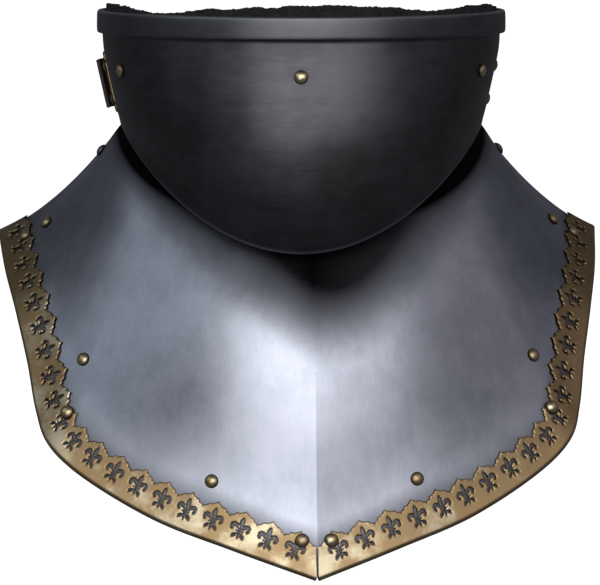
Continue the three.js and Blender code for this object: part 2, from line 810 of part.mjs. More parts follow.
// One border strip: the pierced leaf on the bib's face, wrapped round the bib's edge to a lip behind it.
function borderBody(side) {
  const { spots, triangles, rims } = stripMesh();
  const count = spots.length;
  const positions = [];
  const index = [];
  const add = (point) => {
    const clear = Math.max(point.x, seam_gap / 2);
    positions.push(clear * side, point.y, point.z);
    return positions.length / 3 - 1;
  };
  const face = (a, b, c) => index.push(...(side > 0 ? [a, b, c] : [a, c, b]));
  const quad = (a, b, c, d) => {
    face(a, b, c);
    face(a, c, d);
  };
  for (const out of [border_gap + brass_thickness, border_gap]) {
    for (const spot of spots) {
      const place = fromEdge(spot.x, spot.y);
      add(overBib(1, place.across, place.down, out));
    }
  }
  for (const [a, b, c] of triangles) {
    face(a, b, c);
    face(count + a, count + c, count + b);
  }
  for (const [a, b] of rims) {
    if (spots[a].y + spots[b].y > 0) quad(b, a, count + a, count + b);
  }

  const wraps = [[], []];
  const feet = spots.map((spot, i) => i).filter((i) => spots[i].y === 0);
  feet.sort((a, b) => spots[a].x - spots[b].x);
  for (const foot of feet) {
    const across = spots[foot].x / edge_length;
    const slopes = bibSlopes(across, 1);
    const inner = new THREE.Vector3().crossVectors(slopes.normal, slopes.along).normalize();
    const middle = bibFace(across, 1).addScaledVector(slopes.normal, -steel_thickness / 2);
    [border_gap + brass_thickness, border_gap].forEach((out, skin) => {
      const reach = steel_thickness / 2 + out;
      const behind = middle.clone().addScaledVector(slopes.normal, -reach);
      wraps[skin].push([
        skin * count + foot,
        add(middle.clone().addScaledVector(inner, -reach)),
        add(behind),
        add(behind.clone().addScaledVector(inner, wrap_lip)),
      ]);
    });
  }
  const [skin, lining] = wraps;
  const last = skin[0].length - 1;
  for (let i = 0; i < feet.length - 1; i += 1) {
    for (let r = 0; r < last; r += 1) {
      quad(skin[i][r], skin[i][r + 1], skin[i + 1][r + 1], skin[i + 1][r]);
      quad(lining[i][r], lining[i + 1][r], lining[i + 1][r + 1], lining[i][r + 1]);
    }
    quad(skin[i + 1][last], skin[i][last], lining[i][last], lining[i + 1][last]);
  }
  const end = feet.length - 1;
  for (let r = 0; r < last; r += 1) {
    quad(skin[0][r + 1], skin[0][r], lining[0][r], lining[0][r + 1]);
    quad(skin[end][r], skin[end][r + 1], lining[end][r + 1], lining[end][r]);
  }
  const geometry = new THREE.BufferGeometry();
  geometry.setAttribute('position', new THREE.Float32BufferAttribute(positions, 3));
  geometry.setIndex(index);
  return geometry;
}

const gorget = new THREE.Group();
gorget.add(collar);
const flange_holes = [strap_rivets[1], chape_rivets[1]]
  .map((row) => new THREE.Matrix4().multiplyMatrices(collar.matrix, row.place));
const border_rivets = { left: borderRivets('left', -1), right: borderRivets('right', 1) };
const bib_holes = [...places(bib_rivets), ...places(border_rivets.left), ...places(border_rivets.right)];
gorget.add(mesh('bib_plate', drilled(bibBody(), [...bib_holes, ...flange_holes]), bib_steel));
for (const row of bib_rivets) gorget.add(rivet(row.name, row.place, row.sheets, row.finish));
for (const [word, side] of [['left', -1], ['right', 1]]) {
  const strip = drilled(borderBody(side), places(border_rivets[word]));
  gorget.add(mesh(`border_${word}`, strip, border_brass));
  for (const row of border_rivets[word]) {
    gorget.add(rivet(row.name, row.place, row.sheets, rivet_brass));
  }
}

export default gorget;
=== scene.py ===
"""Steel gorget: a blackened bowl collar over a satin bib plate with a pierced brass border.

Lengths are millimetres until a mesh is made, where MM turns them into metres. +Z is up, and the wearer
faces -Y. The collar is worked out in its own frame and then turned a little on the bib.
"""
import math

import bpy
import numpy as np
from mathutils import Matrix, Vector


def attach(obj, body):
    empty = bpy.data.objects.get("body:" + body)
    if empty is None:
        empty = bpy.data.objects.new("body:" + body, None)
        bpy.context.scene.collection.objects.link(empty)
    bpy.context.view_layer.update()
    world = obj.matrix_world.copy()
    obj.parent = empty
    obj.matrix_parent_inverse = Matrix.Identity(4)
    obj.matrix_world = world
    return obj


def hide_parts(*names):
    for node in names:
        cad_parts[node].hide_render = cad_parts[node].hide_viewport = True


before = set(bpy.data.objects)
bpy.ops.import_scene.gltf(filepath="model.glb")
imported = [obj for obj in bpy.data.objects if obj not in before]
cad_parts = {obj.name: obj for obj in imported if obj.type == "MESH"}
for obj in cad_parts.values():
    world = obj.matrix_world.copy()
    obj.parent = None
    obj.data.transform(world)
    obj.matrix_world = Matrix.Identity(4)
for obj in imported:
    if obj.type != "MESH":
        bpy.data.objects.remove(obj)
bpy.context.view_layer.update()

MM = 0.001

# Camera, as the photograph was taken
PHOTO_WIDTH_PX = 600
FOCAL_PX = 3000
SENSOR_MM = 36.0
CAMERA_AWAY_MM = 1800.0
CAMERA_TURN_DEG = -3.5
CAMERA_HEIGHT_MM = 134.0
AIM_HEIGHT_MM = -103.0
SHIFT_PX = -1.2

# Sheets and clearances
STEEL = 1.5
BRASS = 1.0
LINING = 2.0
STRAP = 2.0
SEAT_GAP = 0.4
BORDER_GAP = 0.75

# Collar bowl
COLLAR_HALF_WIDTH = 118.6
COLLAR_DEPTH = 122.5
COLLAR_BACK_DEPTH = 108.0
COLLAR_END_DEG = 105.0
COLLAR_TURN_DEG = -3.5
RIM_HEIGHT = 68.0
BAND_HEIGHT = 13.3
LIP_SIDE_HEIGHT = 2.0
LIP_DROP = 69.0
LIP_SWEEP = 1.85

# Bib plate
NECK_MARGIN = 0.9
NECK_DEPTH = 78.0
NECK_SIDE_HEIGHT = -2.0
NECK_DROP = 52.0
NECK_END_DEG = 98.0
BIB_HALF_WIDTH = 181.0
BIB_REACH = 150.0
BIB_LENGTH = 244.5
BIB_BULGE = 18.0
SHOULDER_SAG = 8.0
FLANGE_SIDE_HEIGHT = 20.0
FLANGE_FRONT_RISE = 14.0
FLANGE_FOLD = 4.2

# Border
BORDER_WIDTH = 21.5
FLEUR_COUNT = 20
FLEUR_HEIGHT = 12.6
FLEUR_INSET = 4.6
SEAM_MARGIN = 9.0
CORNER_MARGIN = 3.0
CORNER_HIGH = 0.86
SEAM_GAP = 0.4
WRAP_LIP = 6.0

# Lining, strap and buckle
LINING_LOW = 28.0
LINING_RISE = 6.0
LINING_RIVET_HEIGHT = 34.5
STRAP_WIDTH = 30.0
STRAP_HEIGHT = 24.0
STRAP_SEAT = 1.2
STRAP_OVERLAP = 6.0
STRAP_BEND = 4.0
RIVET_SPACING = 20.0
BAR = 3.0
BUCKLE_LENGTH = 23.5
BUCKLE_HEIGHT = 38.0
CHAPE_HEIGHT = 26.0
CHAPE_LENGTH = 14.0
CHAPE_TURN_DEG = 96.0
STRAP_RIVET_TURN_DEG = 94.0
PRONG_WIDTH = 2.6

# Rivets
RIVET_RADIUS = 4.0
RIVET_DOME = 2.6
SHANK_RADIUS = 1.6
SHANK_SPARE = 1.0

# Bowl sections from rim (0) to lip (1), as shares of the half width and the depth
BOWL_SECTIONS = {
    "down": (0.00, 0.10, 0.22, 0.36, 0.52, 0.66, 0.78, 0.88, 0.95, 1.00),
    "side": (1.000, 1.000, 1.000, 0.994, 0.976, 0.959, 0.944, 0.932, 0.922, 0.916),
    "front": (0.998, 1.000, 1.012, 1.027, 1.035, 1.019, 0.988, 0.941, 0.896, 0.853),
}

NECK_HALF_WIDTH = COLLAR_HALF_WIDTH * BOWL_SECTIONS["side"][-1] + NECK_MARGIN

# Outer edge of the right half of the bib from tip to corner, as shares of its sizes
OUTER_EDGE = {
    "wide": (0.000, 0.258, 0.506, 0.756, 0.834, 0.865, 0.893, 0.933, 0.972, 1.000),
    "forward": (1.000, 0.920, 0.815, 0.672, 0.604, 0.520, 0.398, 0.240, 0.040, -0.190),
    "down": (1.000, 0.937, 0.874, 0.771, 0.714, 0.654, 0.552, 0.440, 0.355, 0.275),
}

# Shares of the outer edge's length either side of a place over which its soft course is averaged
SOFT_OFFSETS = (-0.24, -0.16, -0.08, 0.0, 0.08, 0.16, 0.24)

# Half of one crest, away from its pointed middle, as shares of the pitch and of the border's width
CREST = {
    "away": (0.00, 0.035, 0.08, 0.13, 0.165, 0.18, 0.21, 0.26, 0.31, 0.35, 0.37, 0.40, 0.45, 0.50),
    "high": (1.00, 0.965, 0.935, 0.915, 0.90, 0.865, 0.885, 0.89, 0.87, 0.83, 0.795, 0.81, 0.79, 0.74),
}

# Strokes of the pierced fleur-de-lis, from top to foot: the middle petal, the side petal, the middle of
# the foot, the band and the side of the foot. Distance from the axis, height and half thickness are
# shares of the whole height.
FLEUR_STROKES = (
    {"wide": (0, 0, 0, 0, 0, 0),
     "high": (1.0, 0.9, 0.78, 0.66, 0.54, 0.40),
     "thick": (0.005, 0.045, 0.088, 0.085, 0.045, 0.03)},
    {"wide": (0.03, 0.10, 0.20, 0.32, 0.40, 0.41, 0.35),
     "high": (0.40, 0.51, 0.61, 0.645, 0.58, 0.47, 0.40),
     "thick": (0.03, 0.045, 0.058, 0.06, 0.055, 0.05, 0.028)},
    {"wide": (0, 0, 0), "high": (0.42, 0.20, 0.0), "thick": (0.04, 0.05, 0.008)},
    {"wide": (0, 0.14), "high": (0.345, 0.345), "thick": (0.032, 0.026)},
    {"wide": (0.03, 0.12, 0.22, 0.27), "high": (0.29, 0.19, 0.12, 0.05),
     "thick": (0.03, 0.045, 0.05, 0.015)},
)

# Top edge of the lining round the collar, as shares of its greatest rise above the rim
LINING_EDGE = {
    "turn": (-105, -90, -62, -48, -38, -17, 5, 24, 38, 53, 68, 90, 105),
    "rise": (0.35, 0.50, 0.60, 0.15, 0.25, 0.80, 1.00, 0.80, 0.40, 0.60, 0.75, 0.20, 0.20),
}

# Strap round the back: turn from the front, and how far it lies in (1) or out of the wall's line
STRAP_BACK = {
    "turn": (115, 128, 143, 158, 173, 188, 203, 217, 231),
    "out": (0.7, 0.2, 0, 0, 0, 0, -0.2, -0.7, -1.3),
}

# Rivets: turn from the front on the collar; shares across and down on the bib; place along the border
# in fleurs and share of its width
COLLAR_RIVETS = {"rivet_lining_left": -63, "rivet_lining_front": 0, "rivet_lining_right": 63}
BIB_RIVETS = {"rivet_neck": (0.95, 0.15), "rivet_shoulder": (0.92, 0.65),
              "rivet_side": (0.54, 0.72), "rivet_chest": (0.20, 0.83)}
BORDER_RIVETS = {"rivet_border_tip": (0.36, 0.76), "rivet_border_side": (10.8, 0.74),
                 "rivet_border_corner": (18.9, 0.74)}

FRONT = np.array([0.0, -1.0, 0.0])
UP = np.array([0.0, 0.0, 1.0])

CURVE_STEPS = 81
EDGE_STEPS = 2001


def unit(vectors):
    """v / |v| for each row."""
    return vectors / np.linalg.norm(vectors, axis=-1, keepdims=True)


def read(table, by, at, column):
    """Value of a column at a place: the cubic through its rows, whose slope at a row is its neighbours'."""
    x = np.array(table[by], float)
    y = np.array(table[column], float)
    low = np.maximum(np.arange(len(x)) - 1, 0)
    high = np.minimum(np.arange(len(x)) + 1, len(x) - 1)
    slope = (y[high] - y[low]) / (x[high] - x[low])
    at = np.asarray(at, float)
    i = np.clip(np.searchsorted(x, at, side="right") - 1, 0, len(x) - 2)
    step = x[i + 1] - x[i]
    t = np.clip((at - x[i]) / step, 0, 1)
    value = (1 + 2 * t) * (1 - t) ** 2 * y[i] + t * t * (3 - 2 * t) * y[i + 1]
    return value + step * (t * (1 - t) ** 2 * slope[i] - t * t * (1 - t) * slope[i + 1])


def smooth_path(points, count):
    """Points at equal lengths along the centripetal curve through given points, and the curve's length.

    Knots lie at the square roots of the chords, tangents come from three knots, with a cubic between."""
    points = np.asarray(points, float)
    line = np.concatenate([[2 * points[0] - points[1]], points, [2 * points[-1] - points[-2]]])
    chord = np.linalg.norm(np.diff(line, axis=0), axis=1) ** 0.5
    fine = []
    t = np.linspace(0, 1, CURVE_STEPS)[:, None]
    for i in range(1, len(line) - 2):
        a, b, c, d = line[i - 1:i + 3]
        first, middle, last = chord[i - 1:i + 2]
        start = ((b - a) / first - (c - a) / (first + middle) + (c - b) / middle) * middle
        end = ((c - b) / middle - (d - b) / (middle + last) + (d - c) / last) * middle
        fine.append((2 * t**3 - 3 * t**2 + 1) * b + (t**3 - 2 * t**2 + t) * start
                    + (3 * t**2 - 2 * t**3) * c + (t**3 - t**2) * end)
    fine = np.concatenate(fine)
    run = np.concatenate([[0], np.cumsum(np.linalg.norm(np.diff(fine, axis=0), axis=1))])
    at = np.linspace(0, run[-1], count)
    return np.stack([np.interp(at, run, fine[:, k]) for k in range(points.shape[1])], -1), run[-1]


def lip_height(angle):
    """side - drop cos(angle)^sweep, in front; the side height behind."""
    return LIP_SIDE_HEIGHT - LIP_DROP * np.maximum(np.cos(angle), 0) ** LIP_SWEEP


def bowl_face(angle, height):
    """(side sin a, -depth cos a, h): an ellipse at each height, whose axes follow the sections."""
    angle, height = np.broadcast_arrays(angle, height)
    down = (RIM_HEIGHT - height) / (RIM_HEIGHT - lip_height(angle))
    side = COLLAR_HALF_WIDTH * read(BOWL_SECTIONS, "down", down, "side")
    front = COLLAR_DEPTH * read(BOWL_SECTIONS, "down", down, "front")
    back = side * COLLAR_BACK_DEPTH / COLLAR_HALF_WIDTH
    depth = np.where(np.cos(angle) > 0, front, back)
    return np.stack([side * np.sin(angle), -depth * np.cos(angle), height * np.ones_like(side)], -1)


def bowl_normal(angle, height):
    """Cross product of the face's slopes round and up."""
    step = 1e-3
    along = bowl_face(angle + step, height) - bowl_face(angle - step, height)
    rise = bowl_face(angle, height + step) - bowl_face(angle, height - step)
    return unit(np.cross(along, rise))


def near_bowl(angle, height, out):
    """Face plus out times its normal."""
    return bowl_face(angle, height) + np.asarray(out)[..., None] * bowl_normal(angle, height)


def turned(points):
    """Points of the collar turned about Z to where it sits on the bib."""
    turn = math.radians(COLLAR_TURN_DEG)
    spin = np.array([[math.cos(turn), -math.sin(turn), 0], [math.sin(turn), math.cos(turn), 0], [0, 0, 1]])
    return points @ spin.T


edge_line, EDGE_LENGTH = smooth_path(np.stack([
    np.array(OUTER_EDGE["wide"]) * BIB_HALF_WIDTH,
    np.array(OUTER_EDGE["forward"]) * -BIB_REACH,
    np.array(OUTER_EDGE["down"]) * -BIB_LENGTH], -1), EDGE_STEPS)
PITCH = (EDGE_LENGTH - SEAM_MARGIN - CORNER_MARGIN) / FLEUR_COUNT


def edge_point(across):
    """Point of the outer edge at a share of its length, turned about an end for shares past that end."""
    inside = np.clip(across, 0, 1)
    share = np.linspace(0, 1, EDGE_STEPS)
    here, back = (np.stack([np.interp(at, share, edge_line[:, k]) for k in range(3)], -1)
                  for at in (inside, 2 * inside - across))
    return np.where((across == inside)[..., None], here, 2 * here - back)


def crease_point(angle):
    """(w sin a, -d cos a, side height - drop cos a): the fold between bib and flange."""
    return np.stack([NECK_HALF_WIDTH * np.sin(angle), -NECK_DEPTH * np.cos(angle),
                     NECK_SIDE_HEIGHT - NECK_DROP * np.maximum(np.cos(angle), 0)], -1)


def bib_face(across, down):
    """Straight from crease to the soft edge, and by down^3 to the edge itself, for the right half.

    Forward it adds bulge * 27/4 d (1 - d)^2 cos^2(pi a / 2), and down it adds sag * 4 d (1 - d) a^3."""
    across, down = np.broadcast_arrays(across, down)
    share = np.clip(across, 0, 1)
    neck = crease_point(np.radians(across * NECK_END_DEG))
    soft = sum(edge_point(share + offset) for offset in SOFT_OFFSETS) / len(SOFT_OFFSETS)
    bulge = 27 / 4 * down * (1 - down) ** 2 * BIB_BULGE * np.cos(np.pi / 2 * share) ** 2
    sag = 4 * down * (1 - down) * SHOULDER_SAG * share ** 3
    down = down[..., None]
    return (neck + (soft - neck) * down + (edge_point(share) - soft) * down ** 3
            + bulge[..., None] * FRONT - sag[..., None] * UP)


def bib_slopes(across, down):
    """Slopes of the bib's face along and down, and its outward direction."""
    step = 2e-3
    left = np.maximum(across - step, 0)
    right = np.minimum(across + step, 1)
    along = (bib_face(right, down) - bib_face(left, down)) / (right - left)[..., None]
    fall = (bib_face(across, down + step) - bib_face(across, down - step)) / (2 * step)
    return along, fall, unit(np.cross(fall, along))


def dot(a, b):
    """Sum of a b over the last axis."""
    return (a * b).sum(-1)


def from_edge(along, inward):
    """Place (across, down) reached from the outer edge by going inward on the face in three steps."""
    across = np.clip(along / EDGE_LENGTH, 0, 1)
    down = np.ones_like(across)
    side = unit(bib_slopes(across, down)[0])
    past = along - across * EDGE_LENGTH
    parts = 3
    for _ in range(parts):
        slope, fall, normal = bib_slopes(np.clip(across, 0, 1), down)
        inner = unit(np.cross(normal, side))
        go = inner * (inward / parts)[..., None] + side * (past / parts)[..., None]
        aa, af, ff = dot(slope, slope), dot(slope, fall), dot(fall, fall)
        ga, gf = dot(go, slope), dot(go, fall)
        area = aa * ff - af * af
        across = across + (ga * ff - gf * af) / area
        down = down + (gf * aa - ga * af) / area
    return np.clip(across, 0, 1), down


def mirrored(points, side):
    """Points with x times the side, +1 or -1."""
    return points * np.array([side, 1.0, 1.0])


def new_piece(name, points, faces, node, slot, material, sharp_deg=35):
    """Mesh piece from arrays of points in millimetres and of quads."""
    mesh = bpy.data.meshes.new(name)
    mesh.vertices.add(len(points))
    mesh.vertices.foreach_set("co", (points * MM).astype(np.float32).ravel())
    mesh.loops.add(faces.size)
    mesh.loops.foreach_set("vertex_index", faces.astype(np.int32).ravel())
    mesh.polygons.add(len(faces))
    mesh.polygons.foreach_set("loop_start", np.arange(0, faces.size, 4, dtype=np.int32))
    mesh.polygons.foreach_set("use_smooth", np.ones(len(faces), bool))
    mesh.update(calc_edges=True)
    mesh.validate()
    mesh.set_sharp_from_angle(angle=math.radians(sharp_deg))
    piece = bpy.data.objects.new(name, mesh)
    bpy.context.scene.collection.objects.link(piece)
    mesh.materials.append(material)
    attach(piece, "root")
    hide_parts(node)
    return piece


def grid_faces(columns, rows, start=0, closed=False):
    """Quads of a grid, point i * rows + j; the last row joins the first where it is closed."""
    i, j = np.meshgrid(np.arange(columns - 1), np.arange(rows if closed else rows - 1), indexing="ij")
    k = (j + 1) % rows
    return np.stack([start + i * rows + j, start + (i + 1) * rows + j,
                     start + (i + 1) * rows + k, start + i * rows + k], -1).reshape(-1, 4)


def swept(sections):
    """Points and quads of a closed section carried along a path, with its two ends capped by quads
    across the section, which must hold an even number of points, paired first with last."""
    columns, rows = sections.shape[:2]
    faces = [grid_faces(columns, rows, closed=True)]
    half = np.arange(rows // 2 - 1)
    for column, flip in ((0, False), (columns - 1, True)):
        base = column * rows
        cap = np.stack([base + half, base + half + 1, base + rows - 2 - half, base + rows - 1 - half], -1)
        faces.append(cap[:, ::-1] if flip else cap)
    return sections.reshape(-1, 3), np.concatenate(faces)


def pierced(u, v, depth, place, thickness, bevel):
    """Closed sheet over a grid (u, v), kept where depth(u, v), the distance inside its outline, is above 0.

    Points on the kept rim slide on to the outline, p - depth * slope of depth. The top lies at
    thickness - bevel (1 - d / bevel)^2 near the outline, the bottom at 0, and walls join them. With the
    points and faces it gives each point's v."""
    columns, rows = u.shape
    i, j = np.meshgrid(np.arange(columns - 1), np.arange(rows - 1), indexing="ij")
    corners = np.stack([i * rows + j, (i + 1) * rows + j, (i + 1) * rows + j + 1, i * rows + j + 1], -1)
    corners = corners.reshape(-1, 4)
    flat_u, flat_v = u.ravel(), v.ravel()
    middle_u, middle_v = flat_u[corners].mean(1), flat_v[corners].mean(1)
    quads = corners[depth(middle_u, middle_v) > 0]
    used, quads = np.unique(quads, return_inverse=True)
    quads = quads.reshape(-1, 4)
    uu, vv = flat_u[used], flat_v[used]
    directed = np.stack([quads, np.roll(quads, -1, axis=1)], -1).reshape(-1, 2)
    key = directed[:, 0] * len(used) + directed[:, 1]
    back = directed[:, 1] * len(used) + directed[:, 0]
    rim = directed[~np.isin(key, back)]
    on_rim = np.zeros(len(used), bool)
    on_rim[rim.ravel()] = True
    step = 0.02
    reach = 1.2 * np.abs(np.diff(v, axis=1)).max()
    move = on_rim & (np.abs(depth(uu, vv)) < reach)
    for _ in range(2):
        inside = depth(uu, vv)
        slope_u = (depth(uu + step, vv) - depth(uu - step, vv)) / (2 * step)
        slope_v = (depth(uu, vv + step) - depth(uu, vv - step)) / (2 * step)
        uu = np.where(move, uu - np.clip(inside, -reach, reach) * slope_u, uu)
        vv = np.where(move, vv - np.clip(inside, -reach, reach) * slope_v, vv)
    inside = np.where(move, 0, np.maximum(depth(uu, vv), 0))
    top = thickness - bevel * (1 - np.minimum(inside / bevel, 1)) ** 2
    points = np.concatenate([place(uu, vv, top), place(uu, vv, np.zeros_like(top))])
    count = len(used)
    walls = np.stack([rim[:, 1], rim[:, 0], rim[:, 0] + count, rim[:, 1] + count], -1)
    faces = np.concatenate([quads, quads[:, ::-1] + count, walls])
    return points, faces, np.concatenate([vv, vv])


def keep_value(piece, name, values):
    """Store one number per point, which a material reads by name."""
    held = piece.data.attributes.new(name, "FLOAT", "POINT")
    held.data.foreach_set("value", np.asarray(values, np.float32))


# Materials


def put(tree, socket, value):
    """Link an output to a socket, or set the socket to a plain value."""
    if isinstance(value, bpy.types.NodeSocket):
        tree.links.new(value, socket)
    else:
        socket.default_value = value


def maths(tree, operation, first, second):
    """Result of one Math node."""
    node = tree.nodes.new("ShaderNodeMath")
    node.operation = operation
    put(tree, node.inputs[0], first)
    put(tree, node.inputs[1], second)
    return node.outputs[0]


def weighted(tree, *terms):
    """Sum of value * weight over (value, weight) terms."""
    total, *others = [maths(tree, "MULTIPLY", value, weight) for value, weight in terms]
    for other in others:
        total = maths(tree, "ADD", total, other)
    return total


def blend(tree, share, first, second):
    """Colour that goes from first to second with the share."""
    node = tree.nodes.new("ShaderNodeMix")
    node.data_type = "RGBA"
    put(tree, node.inputs[0], share)
    put(tree, node.inputs[6], first)
    put(tree, node.inputs[7], second)
    return node.outputs[2]


def ramp(tree, value, low, high):
    """Value taken from 0 to 1 between two limits, smoothly."""
    node = tree.nodes.new("ShaderNodeMapRange")
    node.interpolation_type = "SMOOTHSTEP"
    for word, given in (("Value", value), ("From Min", low), ("From Max", high)):
        put(tree, node.inputs[word], given)
    return node.outputs["Result"]


def noise(tree, place, scale, detail, roughness, stretch=(1.0, 1.0, 1.0)):
    """Noise over object coordinates in metres, drawn out along an axis by a small stretch value."""
    mapping = tree.nodes.new("ShaderNodeMapping")
    put(tree, mapping.inputs["Vector"], place)
    mapping.inputs["Scale"].default_value = stretch
    node = tree.nodes.new("ShaderNodeTexNoise")
    put(tree, node.inputs["Vector"], mapping.outputs[0])
    put(tree, node.inputs["Scale"], scale)
    node.inputs["Detail"].default_value = detail
    node.inputs["Roughness"].default_value = roughness
    return node.outputs["Fac"]


FLOAT, COLOUR, VECTOR = "NodeSocketFloat", "NodeSocketColor", "NodeSocketVector"
SURFACE = {"Colour": COLOUR, "Roughness": FLOAT, "Height": FLOAT}
# Pale steel blended in for painted sheen on the bowl's band and lip, and for the worn top edge of its rim
SHEEN_AND_WEAR_STEEL = (0.42, 0.44, 0.50, 1)
# Near-black colours blended in for painted shade on the bib and the border, and for the darker rim of a
# rivet's head
STEEL_SHADE_AND_DARKENING = (0.006, 0.005, 0.006, 1)
BRASS_SHADE_AND_DARKENING = (0.035, 0.022, 0.012, 1)


def new_group(name, inputs, outputs):
    """Empty shader group with named inputs and outputs, each given with its kind."""
    group = bpy.data.node_groups.new(name, "ShaderNodeTree")
    for way, sockets in (("INPUT", inputs), ("OUTPUT", outputs)):
        for word, kind in sockets.items():
            group.interface.new_socket(word, in_out=way, socket_type=kind)
    return group, group.nodes.new("NodeGroupInput").outputs, group.nodes.new("NodeGroupOutput").inputs


def make_brushed_group(name, fine_stretch, broad_stretch):
    """Satin steel: fine brush marks drawn out one way, wide cloudy tone and small dark specks, with painted
    sheen and painted shade blended in.
    """
    group, given, out = new_group(
        name, {"Place": VECTOR, "Dark": COLOUR, "Light": COLOUR, "Roughness": FLOAT,
               "Mark depth": FLOAT, "Painted_sheen_and_wear": FLOAT, "Painted_shade_and_darkening": FLOAT}, SURFACE)
    place = given["Place"]
    fine = noise(group, place, 1100, 4, 0.65, fine_stretch)
    broad = noise(group, place, 210, 3, 0.6, broad_stretch)
    cloud = noise(group, place, 22, 5, 0.65)
    speck = ramp(group, noise(group, place, 520, 2, 0.5), 0.27, 0.22)
    marks = weighted(group, (fine, 0.55), (broad, 0.45))
    tone = weighted(group, (marks, 0.35), (cloud, 0.65))
    colour = blend(group, ramp(group, tone, 0.36, 0.62), given["Dark"], given["Light"])
    colour = blend(group, maths(group, "MULTIPLY", speck, 0.35), colour, given["Dark"])
    # Painted sheen and wear, blended towards pale steel
    colour = blend(group, given["Painted_sheen_and_wear"], colour, SHEEN_AND_WEAR_STEEL)
    # Painted shade and darkening, blended towards near black
    put(group, out["Colour"], blend(group, given["Painted_shade_and_darkening"], colour, STEEL_SHADE_AND_DARKENING))
    uneven = maths(group, "SUBTRACT", tone, 0.5)
    put(group, out["Roughness"], weighted(group, (given["Roughness"], 1), (uneven, 0.16),
                                          (given["Painted_shade_and_darkening"], 0.3)))
    put(group, out["Height"], maths(group, "MULTIPLY", marks, given["Mark depth"]))
    return group


def make_patina_group():
    """Old brass, browned in patches, and blended to near black where painted shade and darkening is given.

    A shade and stain input makes it browner above the bright tip, as painted shade, and most of all on the
    wearer's left, where this is partly real brown stain and partly painted shade."""
    group, given, out = new_group(
        "worn_brass", {"Place": VECTOR, "Clean": COLOUR, "Stain": COLOUR, "Age": FLOAT,
                       "Painted_shade_and_darkening": FLOAT, "Roughness": FLOAT}, SURFACE)
    place = given["Place"]
    cloud = noise(group, place, 42, 5, 0.65)
    grain = noise(group, place, 900, 3, 0.6)
    parts = group.nodes.new("ShaderNodeSeparateXYZ")
    put(group, parts.inputs[0], place)
    # Painted shade: browner above the bright tip, more so towards the wearer's left, where real brown stain
    # is mixed in
    above_tip = weighted(group, (parts.outputs["Z"], 1), (parts.outputs["X"], 0.1))
    by_side = maths(group, "ADD", maths(group, "MULTIPLY", parts.outputs["X"], 5.0), 1.0)
    shade_and_stain = maths(group, "MULTIPLY", given["Age"], maths(group, "MAXIMUM", by_side, 0.75))
    shaded_and_stained = maths(group, "MULTIPLY", ramp(group, above_tip, -0.262, -0.19), shade_and_stain)
    patch = ramp(group, weighted(group, (cloud, 1), (grain, 0.12), (shaded_and_stained, 1)), 0.47, 0.70)
    colour = blend(group, maths(group, "MULTIPLY", patch, 0.85), given["Clean"], given["Stain"])
    # Painted shade and darkening, blended towards a near-black brown
    put(group, out["Colour"], blend(group, given["Painted_shade_and_darkening"], colour, BRASS_SHADE_AND_DARKENING))
    put(group, out["Roughness"], weighted(group, (given["Roughness"], 1), (patch, 0.14),
                                          (given["Painted_shade_and_darkening"], 0.35)))
    put(group, out["Height"], weighted(group, (grain, 0.5), (cloud, 1)))
    return group


def make_nap_group():
    """Leather: small round grain with a softer, longer unevenness under it."""
    group, given, out = new_group(
        "leather_grain", {"Place": VECTOR, "Low": COLOUR, "High": COLOUR, "Grain": FLOAT},
        {"Colour": COLOUR, "Height": FLOAT})
    place = given["Place"]
    cells = group.nodes.new("ShaderNodeTexVoronoi")
    put(group, cells.inputs["Vector"], place)
    put(group, cells.inputs["Scale"], given["Grain"])
    tone = weighted(group, (cells.outputs["Distance"], 0.5), (noise(group, place, 160, 4, 0.6), 0.6))
    put(group, out["Colour"], blend(group, ramp(group, tone, 0.25, 0.75), given["Low"], given["High"]))
    put(group, out["Height"], tone)
    return group


UPRIGHT_BRUSHED = make_brushed_group("upright_brushed", (1, 1, 0.035), (1, 1, 0.12))
LEVEL_BRUSHED = make_brushed_group("level_brushed", (0.05, 0.05, 1), (0.15, 0.15, 1))
PATINA = make_patina_group()
NAP = make_nap_group()


def new_material(name, group, values, metallic, bump_mm, roughness=None, held=()):
    """Material whose colour, roughness and bump come from a group placed with its own values.

    Inputs named in held read the value of that name kept on the piece's points."""
    material = bpy.data.materials.new(name)
    material.use_nodes = True
    tree = material.node_tree
    shader = tree.nodes["Principled BSDF"]
    coordinates = tree.nodes.new("ShaderNodeTexCoord")
    effect = tree.nodes.new("ShaderNodeGroup")
    effect.node_tree = group
    put(tree, effect.inputs["Place"], coordinates.outputs["Object"])
    for word, value in values.items():
        put(tree, effect.inputs[word], value)
    for word in held:
        kept = tree.nodes.new("ShaderNodeAttribute")
        kept.attribute_name = word.lower()
        put(tree, effect.inputs[word], kept.outputs["Fac"])
    put(tree, shader.inputs["Base Color"], effect.outputs["Colour"])
    shader.inputs["Metallic"].default_value = metallic
    put(tree, shader.inputs["Roughness"], roughness if roughness else effect.outputs["Roughness"])
    bump = tree.nodes.new("ShaderNodeBump")
    bump.inputs["Strength"].default_value = 1.0
    bump.inputs["Distance"].default_value = bump_mm * MM
    put(tree, bump.inputs["Height"], effect.outputs["Height"])
    put(tree, shader.inputs["Normal"], bump.outputs["Normal"])
    return material


